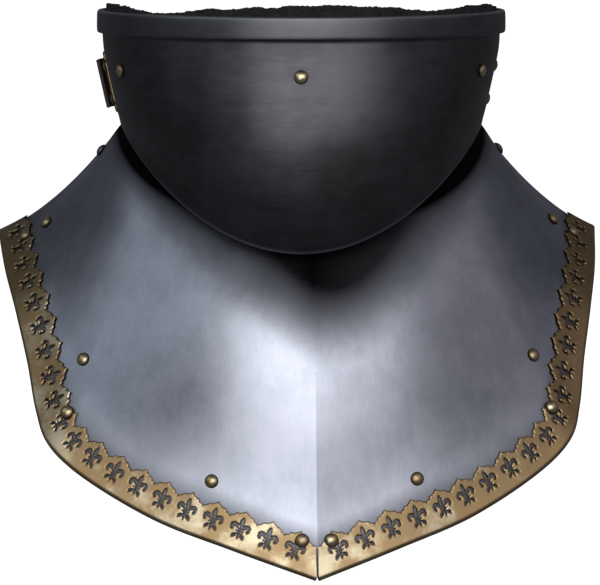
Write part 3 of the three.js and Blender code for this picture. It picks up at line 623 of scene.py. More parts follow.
bowl_steel = new_material("blackened_steel", LEVEL_BRUSHED, {
    "Dark": (0.074, 0.073, 0.081, 1), "Light": (0.120, 0.122, 0.136, 1), "Roughness": 0.42,
    "Mark depth": 0.5}, 1.0, 0.004, held=("Painted_sheen_and_wear",))
bib_steel = new_material("satin_steel", UPRIGHT_BRUSHED, {
    "Dark": (0.365, 0.39, 0.46, 1), "Light": (0.49, 0.515, 0.60, 1), "Roughness": 0.30,
    "Mark depth": 1.0}, 1.0, 0.004, held=("Painted_shade_and_darkening",))
border_brass = new_material("border_brass", PATINA, {
    "Clean": (0.56, 0.49, 0.345, 1), "Stain": (0.36, 0.235, 0.11, 1), "Age": 0.13, "Roughness": 0.29},
    1.0, 0.02, held=("Painted_shade_and_darkening",))
rivet_brass = new_material("rivet_brass", PATINA, {
    "Clean": (0.72, 0.61, 0.38, 1), "Stain": (0.45, 0.33, 0.17, 1), "Roughness": 0.28},
    1.0, 0.015, held=("Painted_shade_and_darkening",))
lining_suede = new_material("black_suede", NAP, {
    "Low": (0.002, 0.002, 0.003, 1), "High": (0.020, 0.021, 0.024, 1), "Grain": 700.0},
    0.0, 0.35, roughness=0.95)
strap_leather = new_material("strap_leather", NAP, {
    "Low": (0.008, 0.006, 0.005, 1), "High": (0.035, 0.026, 0.020, 1), "Grain": 1100.0},
    0.0, 0.12, roughness=0.55)


# Camera

camera = bpy.data.objects.new("camera", bpy.data.cameras.new("camera"))
bpy.context.scene.collection.objects.link(camera)
turn = math.radians(CAMERA_TURN_DEG)
camera.location = (CAMERA_AWAY_MM * math.sin(turn) * MM, -CAMERA_AWAY_MM * math.cos(turn) * MM,
                   CAMERA_HEIGHT_MM * MM)
aim = Vector((0, 0, AIM_HEIGHT_MM * MM)) - camera.location
camera.rotation_euler = aim.to_track_quat("-Z", "Y").to_euler()
camera.data.sensor_width = SENSOR_MM
camera.data.lens = FOCAL_PX / PHOTO_WIDTH_PX * SENSOR_MM
camera.data.shift_x = SHIFT_PX / PHOTO_WIDTH_PX
camera.data.clip_end = 50
bpy.context.scene.camera = camera


# Collar bowl

BOWL_COLUMNS = 361
WALL_ROWS = 58

# Folded rim in section, from inside the wall over the top to the band's foot: distance down and out
RIM_SECTION = {
    "drop": (6.0, 2.4, 1.2, 0.45, 0.08, 0.0, 0.0, 0.10, 0.42, 0.95, 1.8, 3.2, 5.2, 7.4, 9.6, 11.2,
             12.3, 12.9, 13.25, 13.35, 13.2, 12.9),
    "out": (-1.5, -1.5, -1.45, -1.2, -0.7, -0.2, 1.2, 2.0, 2.65, 3.0, 3.15, 3.25, 3.32, 3.35, 3.35,
            3.32, 3.22, 3.0, 2.5, 1.8, 0.9, 0.45),
}

# Lower edge of the wall, rounded over from the face to the inside
LIP_OUT = (-0.15, -0.55, -0.95, -1.35)
LIP_ROUND = 0.25

# How bright the steel is painted: a painted reflection on the band, a worn line with a painted highlight
# along its top, and a painted highlight along the lip
BAND_SHEEN, TOP_SHEEN_AND_WEAR, LIP_SHEEN = 0.12, 0.8, 0.7
TOP_LINE_DROP, TOP_LINE_SPREAD = 0.35, 0.6


def make_bowl():
    """Section carried round the neck: up the inside, over the folded rim, down the face to the lip.

    A point lies drop + share * (wall height at that angle) under the rim, and out from the face."""
    angle = np.radians(np.linspace(-COLLAR_END_DEG, COLLAR_END_DEG, BOWL_COLUMNS))[:, None]
    wall = np.linspace(0, 1, WALL_ROWS)
    wall_drop = np.full(WALL_ROWS, BAND_HEIGHT)
    drop = np.concatenate([wall_drop, RIM_SECTION["drop"], wall_drop,
                           np.full(len(LIP_OUT), BAND_HEIGHT + LIP_ROUND)])
    share = np.concatenate([wall[::-1], np.zeros(len(RIM_SECTION["drop"])), wall, np.ones(len(LIP_OUT))])
    out = np.concatenate([np.full(WALL_ROWS, -STEEL), RIM_SECTION["out"], np.zeros(WALL_ROWS), LIP_OUT])
    height = RIM_HEIGHT - drop - share * (RIM_HEIGHT - BAND_HEIGHT - lip_height(angle))
    points, faces = swept(turned(near_bowl(angle, height, out))[:, ::-1])
    piece = new_piece("bowl", points, faces, "bevor_bowl", "bowl_steel", bowl_steel, sharp_deg=50)
    # Painted reflection on the band, a worn top edge brightened further by a painted highlight, and a
    # painted highlight along the lip
    top = TOP_SHEEN_AND_WEAR * np.exp(-((drop - TOP_LINE_DROP) / TOP_LINE_SPREAD) ** 2)
    rim_edge = (BAND_SHEEN + top) * (out > 0.5)
    lip_edge = LIP_SHEEN * np.clip(share * 70 - 69, 0, 1) * (out > -0.8)
    painted_sheen_and_wear = np.maximum(rim_edge, lip_edge)[::-1]
    keep_value(piece, "painted_sheen_and_wear", np.broadcast_to(painted_sheen_and_wear, height.shape).ravel())
    return piece


make_bowl()


# Bib plate

BIB_COLUMNS = 241
BIB_ROWS = 61
FOLD_ROWS = 9
FLANGE_ROWS = 7
FOLD_DOWN = 0.035
RIDGE_COLUMNS = (0.0, 0.0022, 0.0045)

# Painted shadow and reflection of the bowl under the lip, as shares down the bib and across from the ridge:
# where it ends at the sides, how much further it reaches at its lowest, where that is, how wide it spreads
# and how softly it fades
SHADE_END, SHADE_REACH, SHADE_MIDDLE, SHADE_SPREAD, SHADE_FADE = 0.03, 0.27, 0.07, 0.27, 0.24


def flange_points(angle):
    """Foot and top of the upright flange over the fold at an angle."""
    crease = crease_point(angle)
    side = np.sin(angle) ** 2
    foot_height = crease[..., 2] + FLANGE_FOLD
    top_height = foot_height + FLANGE_FRONT_RISE + side * (
        FLANGE_SIDE_HEIGHT - foot_height - FLANGE_FRONT_RISE)
    half_width = bowl_face(math.pi / 2, FLANGE_SIDE_HEIGHT)[0] - STEEL - 1.5 * SEAT_GAP
    y = crease[..., 1] * (1 - FLANGE_FOLD / NECK_DEPTH)
    foot = np.stack([(NECK_HALF_WIDTH - FLANGE_FOLD) * np.sin(angle), y, foot_height], -1)
    top = np.stack([half_width * np.sin(angle), y, top_height], -1)
    return foot, top


def bib_grid():
    """Grid of the face of the right half: across from the ridge, down from the edge to near the fold.

    Two columns lie close beside the ridge, so that it stays crisp."""
    across = np.concatenate([RIDGE_COLUMNS, np.linspace(0, 1, BIB_COLUMNS)[2:]])[:, None]
    return np.broadcast_arrays(across, np.linspace(1, FOLD_DOWN, BIB_ROWS)[None])


def bib_half():
    """Right half: face rows from edge to near the fold, a rounded fold, then the flange.

    The fold is the curve (1-t)^2 a + 2 t (1-t) b + t^2 c through face, crease and flange foot."""
    across, down = bib_grid()
    face = bib_face(across, down)
    across = across[:, :1]
    angle = np.radians(across * NECK_END_DEG)
    foot, top = flange_points(angle)
    crease = crease_point(angle)
    t = np.linspace(0, 1, FOLD_ROWS)[None, 1:, None]
    fold = (1 - t) ** 2 * face[:, -1:] + 2 * t * (1 - t) * crease + t * t * foot
    flange = foot + (top - foot) * np.linspace(0, 1, FLANGE_ROWS)[None, 1:, None]
    return np.concatenate([face, fold, flange], 1)


def bib_painted_shade(side):
    """Painted shade on the steel of a half: on the flange and by the fold, under the lip, and under the
    border.

    The painted shadow under the lip fades out below a line that lies lowest a little to the right of the
    ridge."""
    across, down = bib_grid()
    signed = across * side
    # Painted shadow and dark reflection of the bowl under its lip
    shade_line = SHADE_END + SHADE_REACH * np.exp(-((signed - SHADE_MIDDLE) / SHADE_SPREAD) ** 2)
    lip_shade = (1.0 - 0.38 * across) * np.clip((shade_line - down) / SHADE_FADE + 0.5, 0, 1)
    reach = np.linalg.norm(edge_point(across) - crease_point(np.radians(across * NECK_END_DEG)), axis=-1)
    # Painted shade on the steel under the brass border, dark through the piercings and beside the crest
    under_border = 0.8 * np.clip(1.5 - (1 - down) * reach / (0.9 * BORDER_WIDTH), 0, 1)
    # Painted shade just above the fold, darkening the light the fold would catch
    by_fold = 0.7 * np.clip((0.12 - down) / 0.08, 0, 1)
    # Painted shade: the fold's last rows and the flange are near black, as in the shadow of the gap under
    # the collar
    flange = np.ones((len(across), FOLD_ROWS + FLANGE_ROWS - 2))
    flange[:, :2] = (0.8, 0.9)
    return np.concatenate([np.maximum(np.maximum(lip_shade, under_border), by_fold), flange], 1)


def make_bib():
    """Both halves side by side as one grid, set back by the sheet's thickness along its own normals."""
    right = bib_half()
    outer = np.concatenate([mirrored(right[:0:-1], -1), right])
    inner = outer - STEEL * unit(np.cross(np.gradient(outer, axis=0), np.gradient(outer, axis=1)))
    points, faces = swept(np.concatenate([outer, inner[:, ::-1]], 1))
    piece = new_piece("bib", points, faces, "bib_plate", "bib_steel", bib_steel, sharp_deg=50)
    # Painted shade of both halves, kept on the outer and inner faces alike
    dark = np.concatenate([bib_painted_shade(-1)[:0:-1], bib_painted_shade(1)])
    keep_value(piece, "painted_shade_and_darkening", np.concatenate([dark, dark[:, ::-1]], 1).ravel())
    return piece


make_bib()


# Pierced border

GRID_STEP = 0.5
WRAP_RADIUS = STEEL / 2 + BORDER_GAP + BRASS / 2
WRAP_ROUND = math.pi * WRAP_RADIUS
BORDER_BEVEL = 0.4
WRAP_LIP_ROWS, WRAP_ROWS = 4, 14
SEAM_COLUMNS, CORNER_COLUMNS = 18, 7

# How far to each side the nearest point of the crest's outline is looked for, and in how many steps
CREST_REACH, CREST_STEPS = 1.6, 17


def stroke_distance(x, y, stroke):
    """Least distance to a chain of segments, less its half thickness there."""
    best = np.full(x.shape, 1e9)
    for k in range(len(stroke["wide"]) - 1):
        ax, bx = stroke["wide"][k:k + 2]
        ay, by = stroke["high"][k:k + 2]
        at, bt = stroke["thick"][k:k + 2]
        length = (bx - ax) ** 2 + (by - ay) ** 2
        t = np.clip(((x - ax) * (bx - ax) + (y - ay) * (by - ay)) / length, 0, 1)
        gap = np.hypot(x - ax - t * (bx - ax), y - ay - t * (by - ay)) - at - t * (bt - at)
        best = np.minimum(best, gap)
    return best


def crest_height(u):
    """Height of the crest's outline at a place along the border, level at its two ends."""
    unit_at = np.clip((u - SEAM_MARGIN) / PITCH, 0, FLEUR_COUNT)
    away = np.abs(unit_at - np.floor(np.minimum(unit_at, FLEUR_COUNT - 1e-6)) - 0.5)
    high = np.interp(away, CREST["away"], CREST["high"])
    high = np.where(u > EDGE_LENGTH - CORNER_MARGIN, CORNER_HIGH, high)
    return BORDER_WIDTH * high


def border_depth(u, v):
    """Distance inside the border: under the crest's outline and outside each pierced fleur."""
    spread = np.linspace(-CREST_REACH, CREST_REACH, CREST_STEPS)
    line = crest_height(u[..., None] + spread) - v[..., None]
    near = np.sqrt(spread**2 + line**2).min(-1)
    crest = np.where(line[..., CREST_STEPS // 2] > 0, near, -near)
    x = ((u - SEAM_MARGIN) % PITCH) - PITCH / 2
    x = np.where((u < SEAM_MARGIN) | (u > EDGE_LENGTH - CORNER_MARGIN), PITCH, np.abs(x))
    y = (v - FLEUR_INSET) / FLEUR_HEIGHT
    fleur = np.min([stroke_distance(x / FLEUR_HEIGHT, y, stroke) for stroke in FLEUR_STROKES], 0)
    return np.minimum(crest, fleur * FLEUR_HEIGHT)


def border_place(u, v, height):
    """Point over (u, v): on the bib's face inward of the edge, round the edge and behind it outside."""
    across, down = from_edge(u, np.maximum(v, 0))
    normal = bib_slopes(across, down)[2]
    face = bib_face(across, down) + normal * (BORDER_GAP + height)[..., None]
    edge_across = np.clip(u / EDGE_LENGTH, 0, 1)
    edge_down = np.ones_like(edge_across)
    slope, _, edge_normal = bib_slopes(edge_across, edge_down)
    inner = unit(np.cross(edge_normal, slope))
    middle = bib_face(edge_across, edge_down) - edge_normal * STEEL / 2
    turn_by = np.clip(-v, 0, WRAP_ROUND) / WRAP_RADIUS
    behind = np.maximum(-v - WRAP_ROUND, 0)
    reach = (STEEL / 2 + BORDER_GAP + height)[..., None]
    wrap = (middle + reach * (np.cos(turn_by)[..., None] * edge_normal
                              - np.sin(turn_by)[..., None] * inner) + inner * behind[..., None])
    past = np.clip(u - EDGE_LENGTH, 0, None)[..., None] * unit(slope)
    points = np.where((v >= 0)[..., None], face, wrap + past)
    points[..., 0] = np.maximum(points[..., 0], SEAM_GAP / 2)
    return points


def edge_slant(across):
    """How far the bib's edge of a strip leans along the border for each step inward."""
    slope, fall, normal = bib_slopes(np.array(across), np.array(1.0))
    side = unit(slope)
    inner = np.cross(normal, side)
    return float(dot(fall, side) / dot(fall, inner))


def make_border(word, side):
    """Sheet over a grid along the edge and inward, leaning at its two ends with the seam and the corner."""
    rows = np.concatenate([
        np.linspace(-WRAP_ROUND - WRAP_LIP, -WRAP_ROUND, WRAP_LIP_ROWS + 1)[:-1],
        np.linspace(-WRAP_ROUND, 0, WRAP_ROWS + 1)[:-1],
        np.arange(0, BORDER_WIDTH + GRID_STEP, GRID_STEP)])
    first, last = SEAM_MARGIN, EDGE_LENGTH - CORNER_MARGIN
    middle = np.linspace(first, last, int((last - first) / GRID_STEP) + 1)
    share = np.concatenate([np.linspace(-1, 0, SEAM_COLUMNS + 1)[:-1], np.zeros_like(middle),
                            np.linspace(0, 1, CORNER_COLUMNS + 1)[1:]])
    along = np.concatenate([np.full(SEAM_COLUMNS, first), middle, np.full(CORNER_COLUMNS, last)])
    u, v = np.meshgrid(along, rows, indexing="ij")
    share = np.broadcast_to(share[:, None], u.shape)
    inward = np.maximum(v, 0)
    seam = SEAM_GAP + edge_slant(0.0) * inward
    corner = EDGE_LENGTH + edge_slant(1.0) * inward
    u = u + np.where(share < 0, -share * (seam - first), share * (corner - last))
    points, faces, vv = pierced(u, v, border_depth, border_place, BRASS, BORDER_BEVEL)
    piece = new_piece(f"border_{word}_leaf", mirrored(points, side), faces[:, ::side], f"border_{word}",
                      "border_brass", border_brass, sharp_deg=45)
    # Painted shade: the sheet's underside and the lower part of every wall are near black, and it darkens
    # as it wraps round behind the edge
    under = np.repeat([0, 1], len(points) // 2)
    wrap = np.clip(-vv / WRAP_ROUND, 0, 1)
    keep_value(piece, "painted_shade_and_darkening", np.clip(under + 0.9 * wrap ** 0.8, 0, 1))
    return piece


for word, side in (("left", -1), ("right", 1)):
    make_border(word, side)


# Rivets

RIVET_SIDES = 40

# Dome from the crown to the rim and the shank, as shares of the radius and of the dome's height
RIVET_PROFILE = {
    "out": (0.0, 0.12, 0.26, 0.42, 0.58, 0.72, 0.84, 0.93, 0.985, 1.0, 0.99, 0.94),
    "up": (1.0, 0.99, 0.96, 0.90, 0.80, 0.67, 0.51, 0.34, 0.16, 0.04, 0.0, 0.0),
}
SHANK_TIP_RADIUS = 0.004

# Share of the radius at which a head begins to darken towards its rim, and over which the darkening grows
DARK_RIM_START, DARK_RIM_WIDTH = 0.72, 0.25

HEAD_GAP = SEAT_GAP * 0.2
LINING_SHANK = STEEL + 2 * SEAT_GAP + LINING
STRAP_SHANK = 8.0
CHAPE_SHANK = 6.0
BIB_SHANK = STEEL + SHANK_SPARE
BORDER_SHANK = STEEL + BRASS + 1.5 * SHANK_SPARE


def make_rivet(name, centre, normal, shank):
    """Profile turned about the face's normal at its place, (r cos a, r sin a, z), with a shank below."""
    radius = np.concatenate([np.array(RIVET_PROFILE["out"]) * RIVET_RADIUS, [SHANK_RADIUS] * 2, [0.0]])
    radius = np.maximum(radius, SHANK_TIP_RADIUS)
    height = np.concatenate([np.array(RIVET_PROFILE["up"]) * RIVET_DOME, [0, -shank, -shank]])
    across = unit(np.cross(UP, normal))
    up = np.cross(normal, across)
    a = np.linspace(0, 2 * math.pi, RIVET_SIDES, endpoint=False)[:, None, None]
    points = (centre + radius[:, None] * (np.cos(a) * across + np.sin(a) * up) + height[:, None] * normal)
    rows = len(radius)
    side_faces = grid_faces(RIVET_SIDES + 1, rows)[:, ::-1] % (RIVET_SIDES * rows)
    half = np.arange(RIVET_SIDES // 2 - 1)
    crown = rows * np.stack([half, half + 1, RIVET_SIDES - 2 - half, RIVET_SIDES - 1 - half], -1)
    faces = np.concatenate([side_faces, crown, crown[:, ::-1] + rows - 1])
    metal = ("bib_steel", bib_steel) if name.startswith("rivet_neck") else ("rivet_brass", rivet_brass)
    piece = new_piece(f"{name}_dome", points.reshape(-1, 3), faces, name, *metal, sharp_deg=60)
    # The head darkens towards its rim, and the hidden shank is dark all over
    dark_rim = np.clip((radius / RIVET_RADIUS - DARK_RIM_START) / DARK_RIM_WIDTH, 0, 1) ** 1.3
    dark_rim = np.where(height < 0.02 * RIVET_DOME, 1, dark_rim)
    keep_value(piece, "painted_shade_and_darkening", np.broadcast_to(dark_rim, (RIVET_SIDES, rows)).ravel())
    return piece


def collar_frame(turn_deg, height, out):
    """Place and outward direction on the collar, turned with it."""
    angle = math.radians(turn_deg)
    return turned(near_bowl(angle, height, out)), turned(bowl_normal(angle, height))


for name, turn_deg in COLLAR_RIVETS.items():
    make_rivet(name, *collar_frame(turn_deg, LINING_RIVET_HEIGHT, HEAD_GAP), LINING_SHANK)
for name, height in (("rivet_strap_upper", STRAP_HEIGHT + RIVET_SPACING / 2),
                     ("rivet_strap_lower", STRAP_HEIGHT - RIVET_SPACING / 2)):
    make_rivet(name, *collar_frame(STRAP_RIVET_TURN_DEG, height, HEAD_GAP), STRAP_SHANK)
for word, side in (("left", -1), ("right", 1)):
    places = [(name, *np.array(shares), HEAD_GAP, BIB_SHANK) for name, shares in BIB_RIVETS.items()]
    places += [(name, *from_edge(np.array(SEAM_MARGIN + fleur * PITCH), np.array(high * BORDER_WIDTH)),
                BORDER_GAP + BRASS, BORDER_SHANK) for name, (fleur, high) in BORDER_RIVETS.items()]
    for name, across, down, out, shank in places:
        normal = bib_slopes(across, down)[2]
        centre = bib_face(across, down) + normal * out
        make_rivet(f"{name}_{word}", mirrored(centre, side), mirrored(normal, side), shank)


# Lining

LINING_COLUMNS = 541
LINING_ROWS = 25
TUFT_COLUMNS = 12
NAP_SHIFT = 40

# Soft top edge: shares of the rise on the way up, shares over the crown, and how far the crown lies out
EDGE_UP = (0.25, 0.5, 0.75, 0.92)
CROWN_UP = (1.0, 1.03, 1.03, 1.0)
CROWN_OUT = (-0.1, -0.6, -1.4, -1.9)


def make_lining():
    """Section carried round the collar: up one face, over a soft top edge and down the other.

    The top lies rise(turn) above the rim, plus an uneven nap: seeded noise and its mean over 12 columns."""
    turn_deg = np.linspace(-COLLAR_END_DEG, COLLAR_END_DEG, LINING_COLUMNS)
    fibres = np.random.default_rng(7).normal(size=(2, LINING_COLUMNS))
    tufts = np.convolve(fibres[0], np.ones(TUFT_COLUMNS) / TUFT_COLUMNS, "same")
    nap = (1.3 * tufts + 0.16 * fibres[1])[:, None]
    top = LINING_RISE * read(LINING_EDGE, "turn", turn_deg, "rise")[:, None] + nap
    wall = np.broadcast_to(np.linspace(LINING_LOW, RIM_HEIGHT, LINING_ROWS), (LINING_COLUMNS, LINING_ROWS))
    up = RIM_HEIGHT + np.array(EDGE_UP) * top
    crown = RIM_HEIGHT + np.array(CROWN_UP) * top
    height = np.concatenate([wall, up, crown, up[:, ::-1], wall[:, ::-1]], 1)
    half = LINING_ROWS + len(EDGE_UP)
    out = np.concatenate([np.zeros(half), CROWN_OUT, np.full(half, -LINING)])
    lean = np.repeat([0, 1, 0], [LINING_ROWS, len(out) - 2 * LINING_ROWS, LINING_ROWS])
    out = out - STEEL - SEAT_GAP + lean * (1.2 * np.roll(nap, NAP_SHIFT) - 0.3)
    points = near_bowl(np.radians(turn_deg)[:, None], np.minimum(height, RIM_HEIGHT), out)
    points[..., 2] = height
    points, faces = swept(turned(points))
    return new_piece("lining", points, faces, "collar_lining", "lining_suede", lining_suede, sharp_deg=70)


lining = make_lining()


# Strap and buckle

CHAPE_LOW = SEAT_GAP
BAR_LOW = CHAPE_LOW + BRASS + SEAT_GAP
BAR_HIGH = BAR_LOW + BAR
LOOP_HIGH = BAR_HIGH + SEAT_GAP + BRASS
BAR_NEAR = CHAPE_LENGTH / 2 + BRASS
BAR_FAR = BAR_NEAR + BAR
FRAME_FAR = BAR_NEAR + BUCKLE_LENGTH
BAR_MIDDLE = (BAR_NEAR + BAR_FAR) / 2
BAR_CENTRE = (BAR_LOW + BAR_HIGH) / 2
UNDER_BAR = BAR_LOW - SEAT_GAP - STRAP / 2
OVER_LOOP = LOOP_HIGH + SEAT_GAP + STRAP / 2
BAR_BEND_NEAR, BAR_BEND_FAR = 1.6, 5.0
FRAME_SIDES = 16
CHAPE_CORNER = 2.0
CHAPE_BEVEL = 0.3
CHAPE_FLAT_STEPS, CHAPE_FOLD_STEPS = 12, 22
CHAPE_COLUMNS, CHAPE_ROWS = 60, 53
PRONG_RING_FROM_DEG, PRONG_RING_TO_DEG, PRONG_RING_STEPS = 60, 380, 26
PRONG_STEPS = 90
PRONG_SIDES = 12

# Half width and half thickness of the prong at shares of its length
PRONG_WIDE = {"share": (0.0, 0.55, 0.9, 1.0), "half": (1.3, 1.3, 0.95, 0.45)}
PRONG_THICK = {"share": (0.0, 0.5, 1.0), "half": (0.5, 0.75, 0.5)}

buckle_angle = math.radians(-CHAPE_TURN_DEG)
buckle_centre = bowl_face(buckle_angle, STRAP_HEIGHT)
buckle_out = bowl_normal(buckle_angle, STRAP_HEIGHT)
buckle_back = -unit(np.cross(UP, buckle_out))
buckle_down = np.cross(buckle_out, buckle_back)


def on_buckle(points):
    """Points (back along the collar, down, out of the wall) taken to their place on the collar."""
    return turned(buckle_centre + points[..., :1] * buckle_back + points[..., 1:2] * buckle_down
                  + points[..., 2:] * buckle_out)


def round_tube(path, tangent, across, radius_a, radius_b, sides):
    """Rounded section carried along a path: centre + a c * across + b s * (across x tangent).

    c and s are cos t and sin t with their sizes raised to the power 0.62, which squares the section."""
    second = unit(np.cross(across, tangent))
    t = np.linspace(0, 2 * math.pi, sides, endpoint=False)[:, None] + math.pi / sides
    c, s = (np.sign(wave) * np.abs(wave) ** 0.62 for wave in (np.cos(t), np.sin(t)))
    a, b = (np.reshape(radius, (-1, 1, 1)) for radius in (radius_a, radius_b))
    return path[:, None] + a * c * across + b * s * second[:, None]


def make_buckle_frame():
    """Rounded bar carried round a rectangle with soft corners, closed on itself."""
    half = BUCKLE_HEIGHT / 2 - BAR / 2
    near, far = BAR_NEAR + BAR / 2, FRAME_FAR - BAR / 2
    corners = np.array([[near, -half], [far, -half], [far, half], [near, half]])
    bends = np.array([BAR_BEND_NEAR, BAR_BEND_FAR, BAR_BEND_FAR, BAR_BEND_NEAR])[:, None]
    start = corners + unit(np.roll(corners, 1, 0) - corners) * bends
    end = corners + unit(np.roll(corners, -1, 0) - corners) * bends
    t = np.linspace(0, 1, 9)[:, None]
    path = (1 - t) ** 2 * start[:, None] + 2 * t * (1 - t) * corners[:, None] + t * t * end[:, None]
    path = np.insert(path.reshape(-1, 2), 2, BAR_CENTRE, 1)
    tangent = unit(np.roll(path, -1, 0) - np.roll(path, 1, 0))
    points = on_buckle(round_tube(path, tangent, UP, BAR / 2, BAR / 2, FRAME_SIDES))
    columns, rows = points.shape[:2]
    faces = grid_faces(columns + 1, rows, closed=True) % (columns * rows)
    piece = new_piece("buckle_ring", points.reshape(-1, 3), faces, "buckle_frame", "border_brass",
                      border_brass, sharp_deg=60)
    keep_value(piece, "painted_shade_and_darkening", np.zeros(columns * rows))
    return piece


def make_chape():
    """Thin plate along its own fold: flat on the wall, round the bar and back, cut for the prong."""
    low, high = CHAPE_LOW + BRASS / 2, LOOP_HIGH - BRASS / 2
    radius = (high - low) / 2
    flat = np.linspace(-CHAPE_LENGTH / 2, BAR_MIDDLE, CHAPE_FLAT_STEPS)
    a = np.linspace(-math.pi / 2, math.pi, CHAPE_FOLD_STEPS)[1:]
    line = np.concatenate([
        np.stack([flat, np.full_like(flat, low)], -1),
        np.stack([BAR_MIDDLE + radius * np.cos(a), (low + high) / 2 + radius * np.sin(a)], -1)])
    run = np.concatenate([[0], np.cumsum(np.linalg.norm(np.diff(line, axis=0), axis=1))])
    tangent = unit(np.gradient(line, axis=0))
    half = CHAPE_HEIGHT / 2
    slot_half = PRONG_WIDTH / 2 + SEAT_GAP
    slot_start = BAR_NEAR - 2 * BRASS + CHAPE_LENGTH / 2
    near_slot, beyond = 3.0, 9.0

    def depth(u, v):
        """Inside the plate's outline, with soft corners, and outside the prong's slot."""
        beside = np.abs(v) - half + CHAPE_CORNER
        plate = CHAPE_CORNER - np.hypot(np.maximum(CHAPE_CORNER - u, 0), np.maximum(beside, 0))
        plate = np.where(u > CHAPE_CORNER, half - np.abs(v), plate)
        slot = np.maximum(slot_start - u, np.abs(v) - slot_half)
        return np.minimum(plate, np.where(u > slot_start - near_slot, slot, beyond))

    def place(u, v, height):
        """Point off the fold line, raised from its inner face by a height."""
        on_line, along = (np.stack([np.interp(u, run, values[:, k]) for k in range(2)], -1)
                          for values in (line, tangent))
        off = height - BRASS / 2
        return on_buckle(np.stack([on_line[..., 0] - along[..., 1] * off, v,
                                   on_line[..., 1] + along[..., 0] * off], -1))

    u, v = np.meshgrid(np.linspace(0, run[-1], CHAPE_COLUMNS), np.linspace(-half, half, CHAPE_ROWS),
                       indexing="ij")
    points, faces, _ = pierced(u, v, depth, place, BRASS, CHAPE_BEVEL)
    piece = new_piece("buckle_plate", points, faces, "buckle_chape", "border_brass", border_brass)
    keep_value(piece, "painted_shade_and_darkening", np.zeros(len(points)))
    return piece


def make_prong():
    """Ring round the bar and a tongue that narrows to its tip on the far bar."""
    radius = BAR / 2 + SEAT_GAP + 0.5
    a = np.radians(np.linspace(PRONG_RING_FROM_DEG, PRONG_RING_TO_DEG, PRONG_RING_STEPS))
    ring = np.stack([BAR_MIDDLE + radius * np.cos(a), 0 * a, BAR_CENTRE + radius * np.sin(a)], -1)
    rest = BAR_HIGH + SEAT_GAP + PRONG_WIDTH / 4
    tongue = np.array([[BAR_FAR + 3, 0, rest + 0.9], [BAR_FAR + 9, 0, rest + 0.7],
                       [FRAME_FAR - BAR, 0, rest + 0.1], [FRAME_FAR - 0.6, 0, rest]])
    path, _ = smooth_path(np.concatenate([ring, tongue]), PRONG_STEPS)
    share = np.linspace(0, 1, PRONG_STEPS)
    wide, thick = (np.interp(share, table["share"], table["half"]) for table in (PRONG_WIDE, PRONG_THICK))
    tangent = unit(np.gradient(path, axis=0))
    sections = round_tube(path, tangent, np.array([0.0, 1.0, 0.0]), wide, thick, PRONG_SIDES)
    points, faces = swept(on_buckle(sections))
    piece = new_piece("buckle_tongue", points, faces, "buckle_prong", "border_brass", border_brass,
                      sharp_deg=70)
    keep_value(piece, "painted_shade_and_darkening", np.zeros(len(points)))
    return piece


def strap_stations():
    """Middle, outward and upward directions of the strap where it is held and round the back."""
    inside_out = -(STEEL + SEAT_GAP) - LINING - STRAP_SEAT - STRAP / 2
    turns = [STRAP_RIVET_TURN_DEG - 8, STRAP_RIVET_TURN_DEG + 3, COLLAR_END_DEG + 2, *STRAP_BACK["turn"]]
    outs = inside_out * np.array([1, 1, 1, *STRAP_BACK["out"]])
    angle = np.radians(turns)
    out = bowl_normal(angle, STRAP_HEIGHT)
    centre = near_bowl(angle, STRAP_HEIGHT, outs)
    up = np.cross(out, unit(np.cross(UP, out)))
    back_out = np.array([(FRAME_FAR + STRAP_OVERLAP, UNDER_BAR),
                         (FRAME_FAR - BAR - STRAP_BEND / 2, UNDER_BAR),
                         (BAR_FAR + STRAP_BEND, OVER_LOOP), (BAR_NEAR - STRAP_BEND, OVER_LOOP)])
    end = buckle_centre + back_out @ [buckle_back, buckle_out]
    return (np.concatenate([centre, end]), np.concatenate([out, np.tile(buckle_out, (4, 1))]),
            np.concatenate([up, np.tile(-buckle_down, (4, 1))]))


# Half of the strap's face from its edge: distance in, and how far the surface lies under the face
STRAP_FACE = {
    "inward": (0.0, 0.25, 0.8, 2.2, 2.6, 3.0, 7.0),
    "sunk": (0.9, 0.35, 0.0, 0.0, 0.25, 0.0, 0.0),
}
STRAP_COLUMNS = 241
TURN_WEIGHT = 10


def make_strap():
    """Flat section with rounded edges and a pressed line near each, carried through the stations.

    Directions run along the curve with the places, weighted by 10, and are made unit again."""
    centre, out, up = strap_stations()
    line, _ = smooth_path(np.concatenate([centre, out * TURN_WEIGHT, up * TURN_WEIGHT], 1), STRAP_COLUMNS)
    middle, out, up = line[:, None, :3], unit(line[:, None, 3:6]), unit(line[:, None, 6:])
    inward, sunk = (np.array(STRAP_FACE[column]) for column in ("inward", "sunk"))
    y = np.concatenate([inward - STRAP_WIDTH / 2, [0], STRAP_WIDTH / 2 - inward[::-1]])
    z = STRAP / 2 - np.concatenate([sunk, [0], sunk[::-1]])
    y = np.concatenate([y, y[::-1]])[:, None]
    z = np.concatenate([z, -z])[:, None]
    points, faces = swept(turned(middle + y * up + z * out))
    return new_piece("strap", points, faces, "neck_strap", "strap_leather", strap_leather, sharp_deg=60)


make_buckle_frame()
make_chape()
make_prong()
make_strap()
for name, end in (("rivet_chape_upper", -1), ("rivet_chape_lower", 1)):
    spot = np.array([-CHAPE_LENGTH / 8, end * RIVET_SPACING / 2, CHAPE_LOW + BRASS])
    make_rivet(name, on_buckle(spot), turned(buckle_out), CHAPE_SHANK)


# Studio: pale floor, white surroundings and soft lights

FLOOR_HEIGHT_MM = -330.0
FLOOR_REACH = 12.0
WHITE = (1.0, 1.0, 1.0, 1.0)
DIM = (0.075, 0.075, 0.082, 1.0)
AIM = Vector((0, -0.05, -0.09))


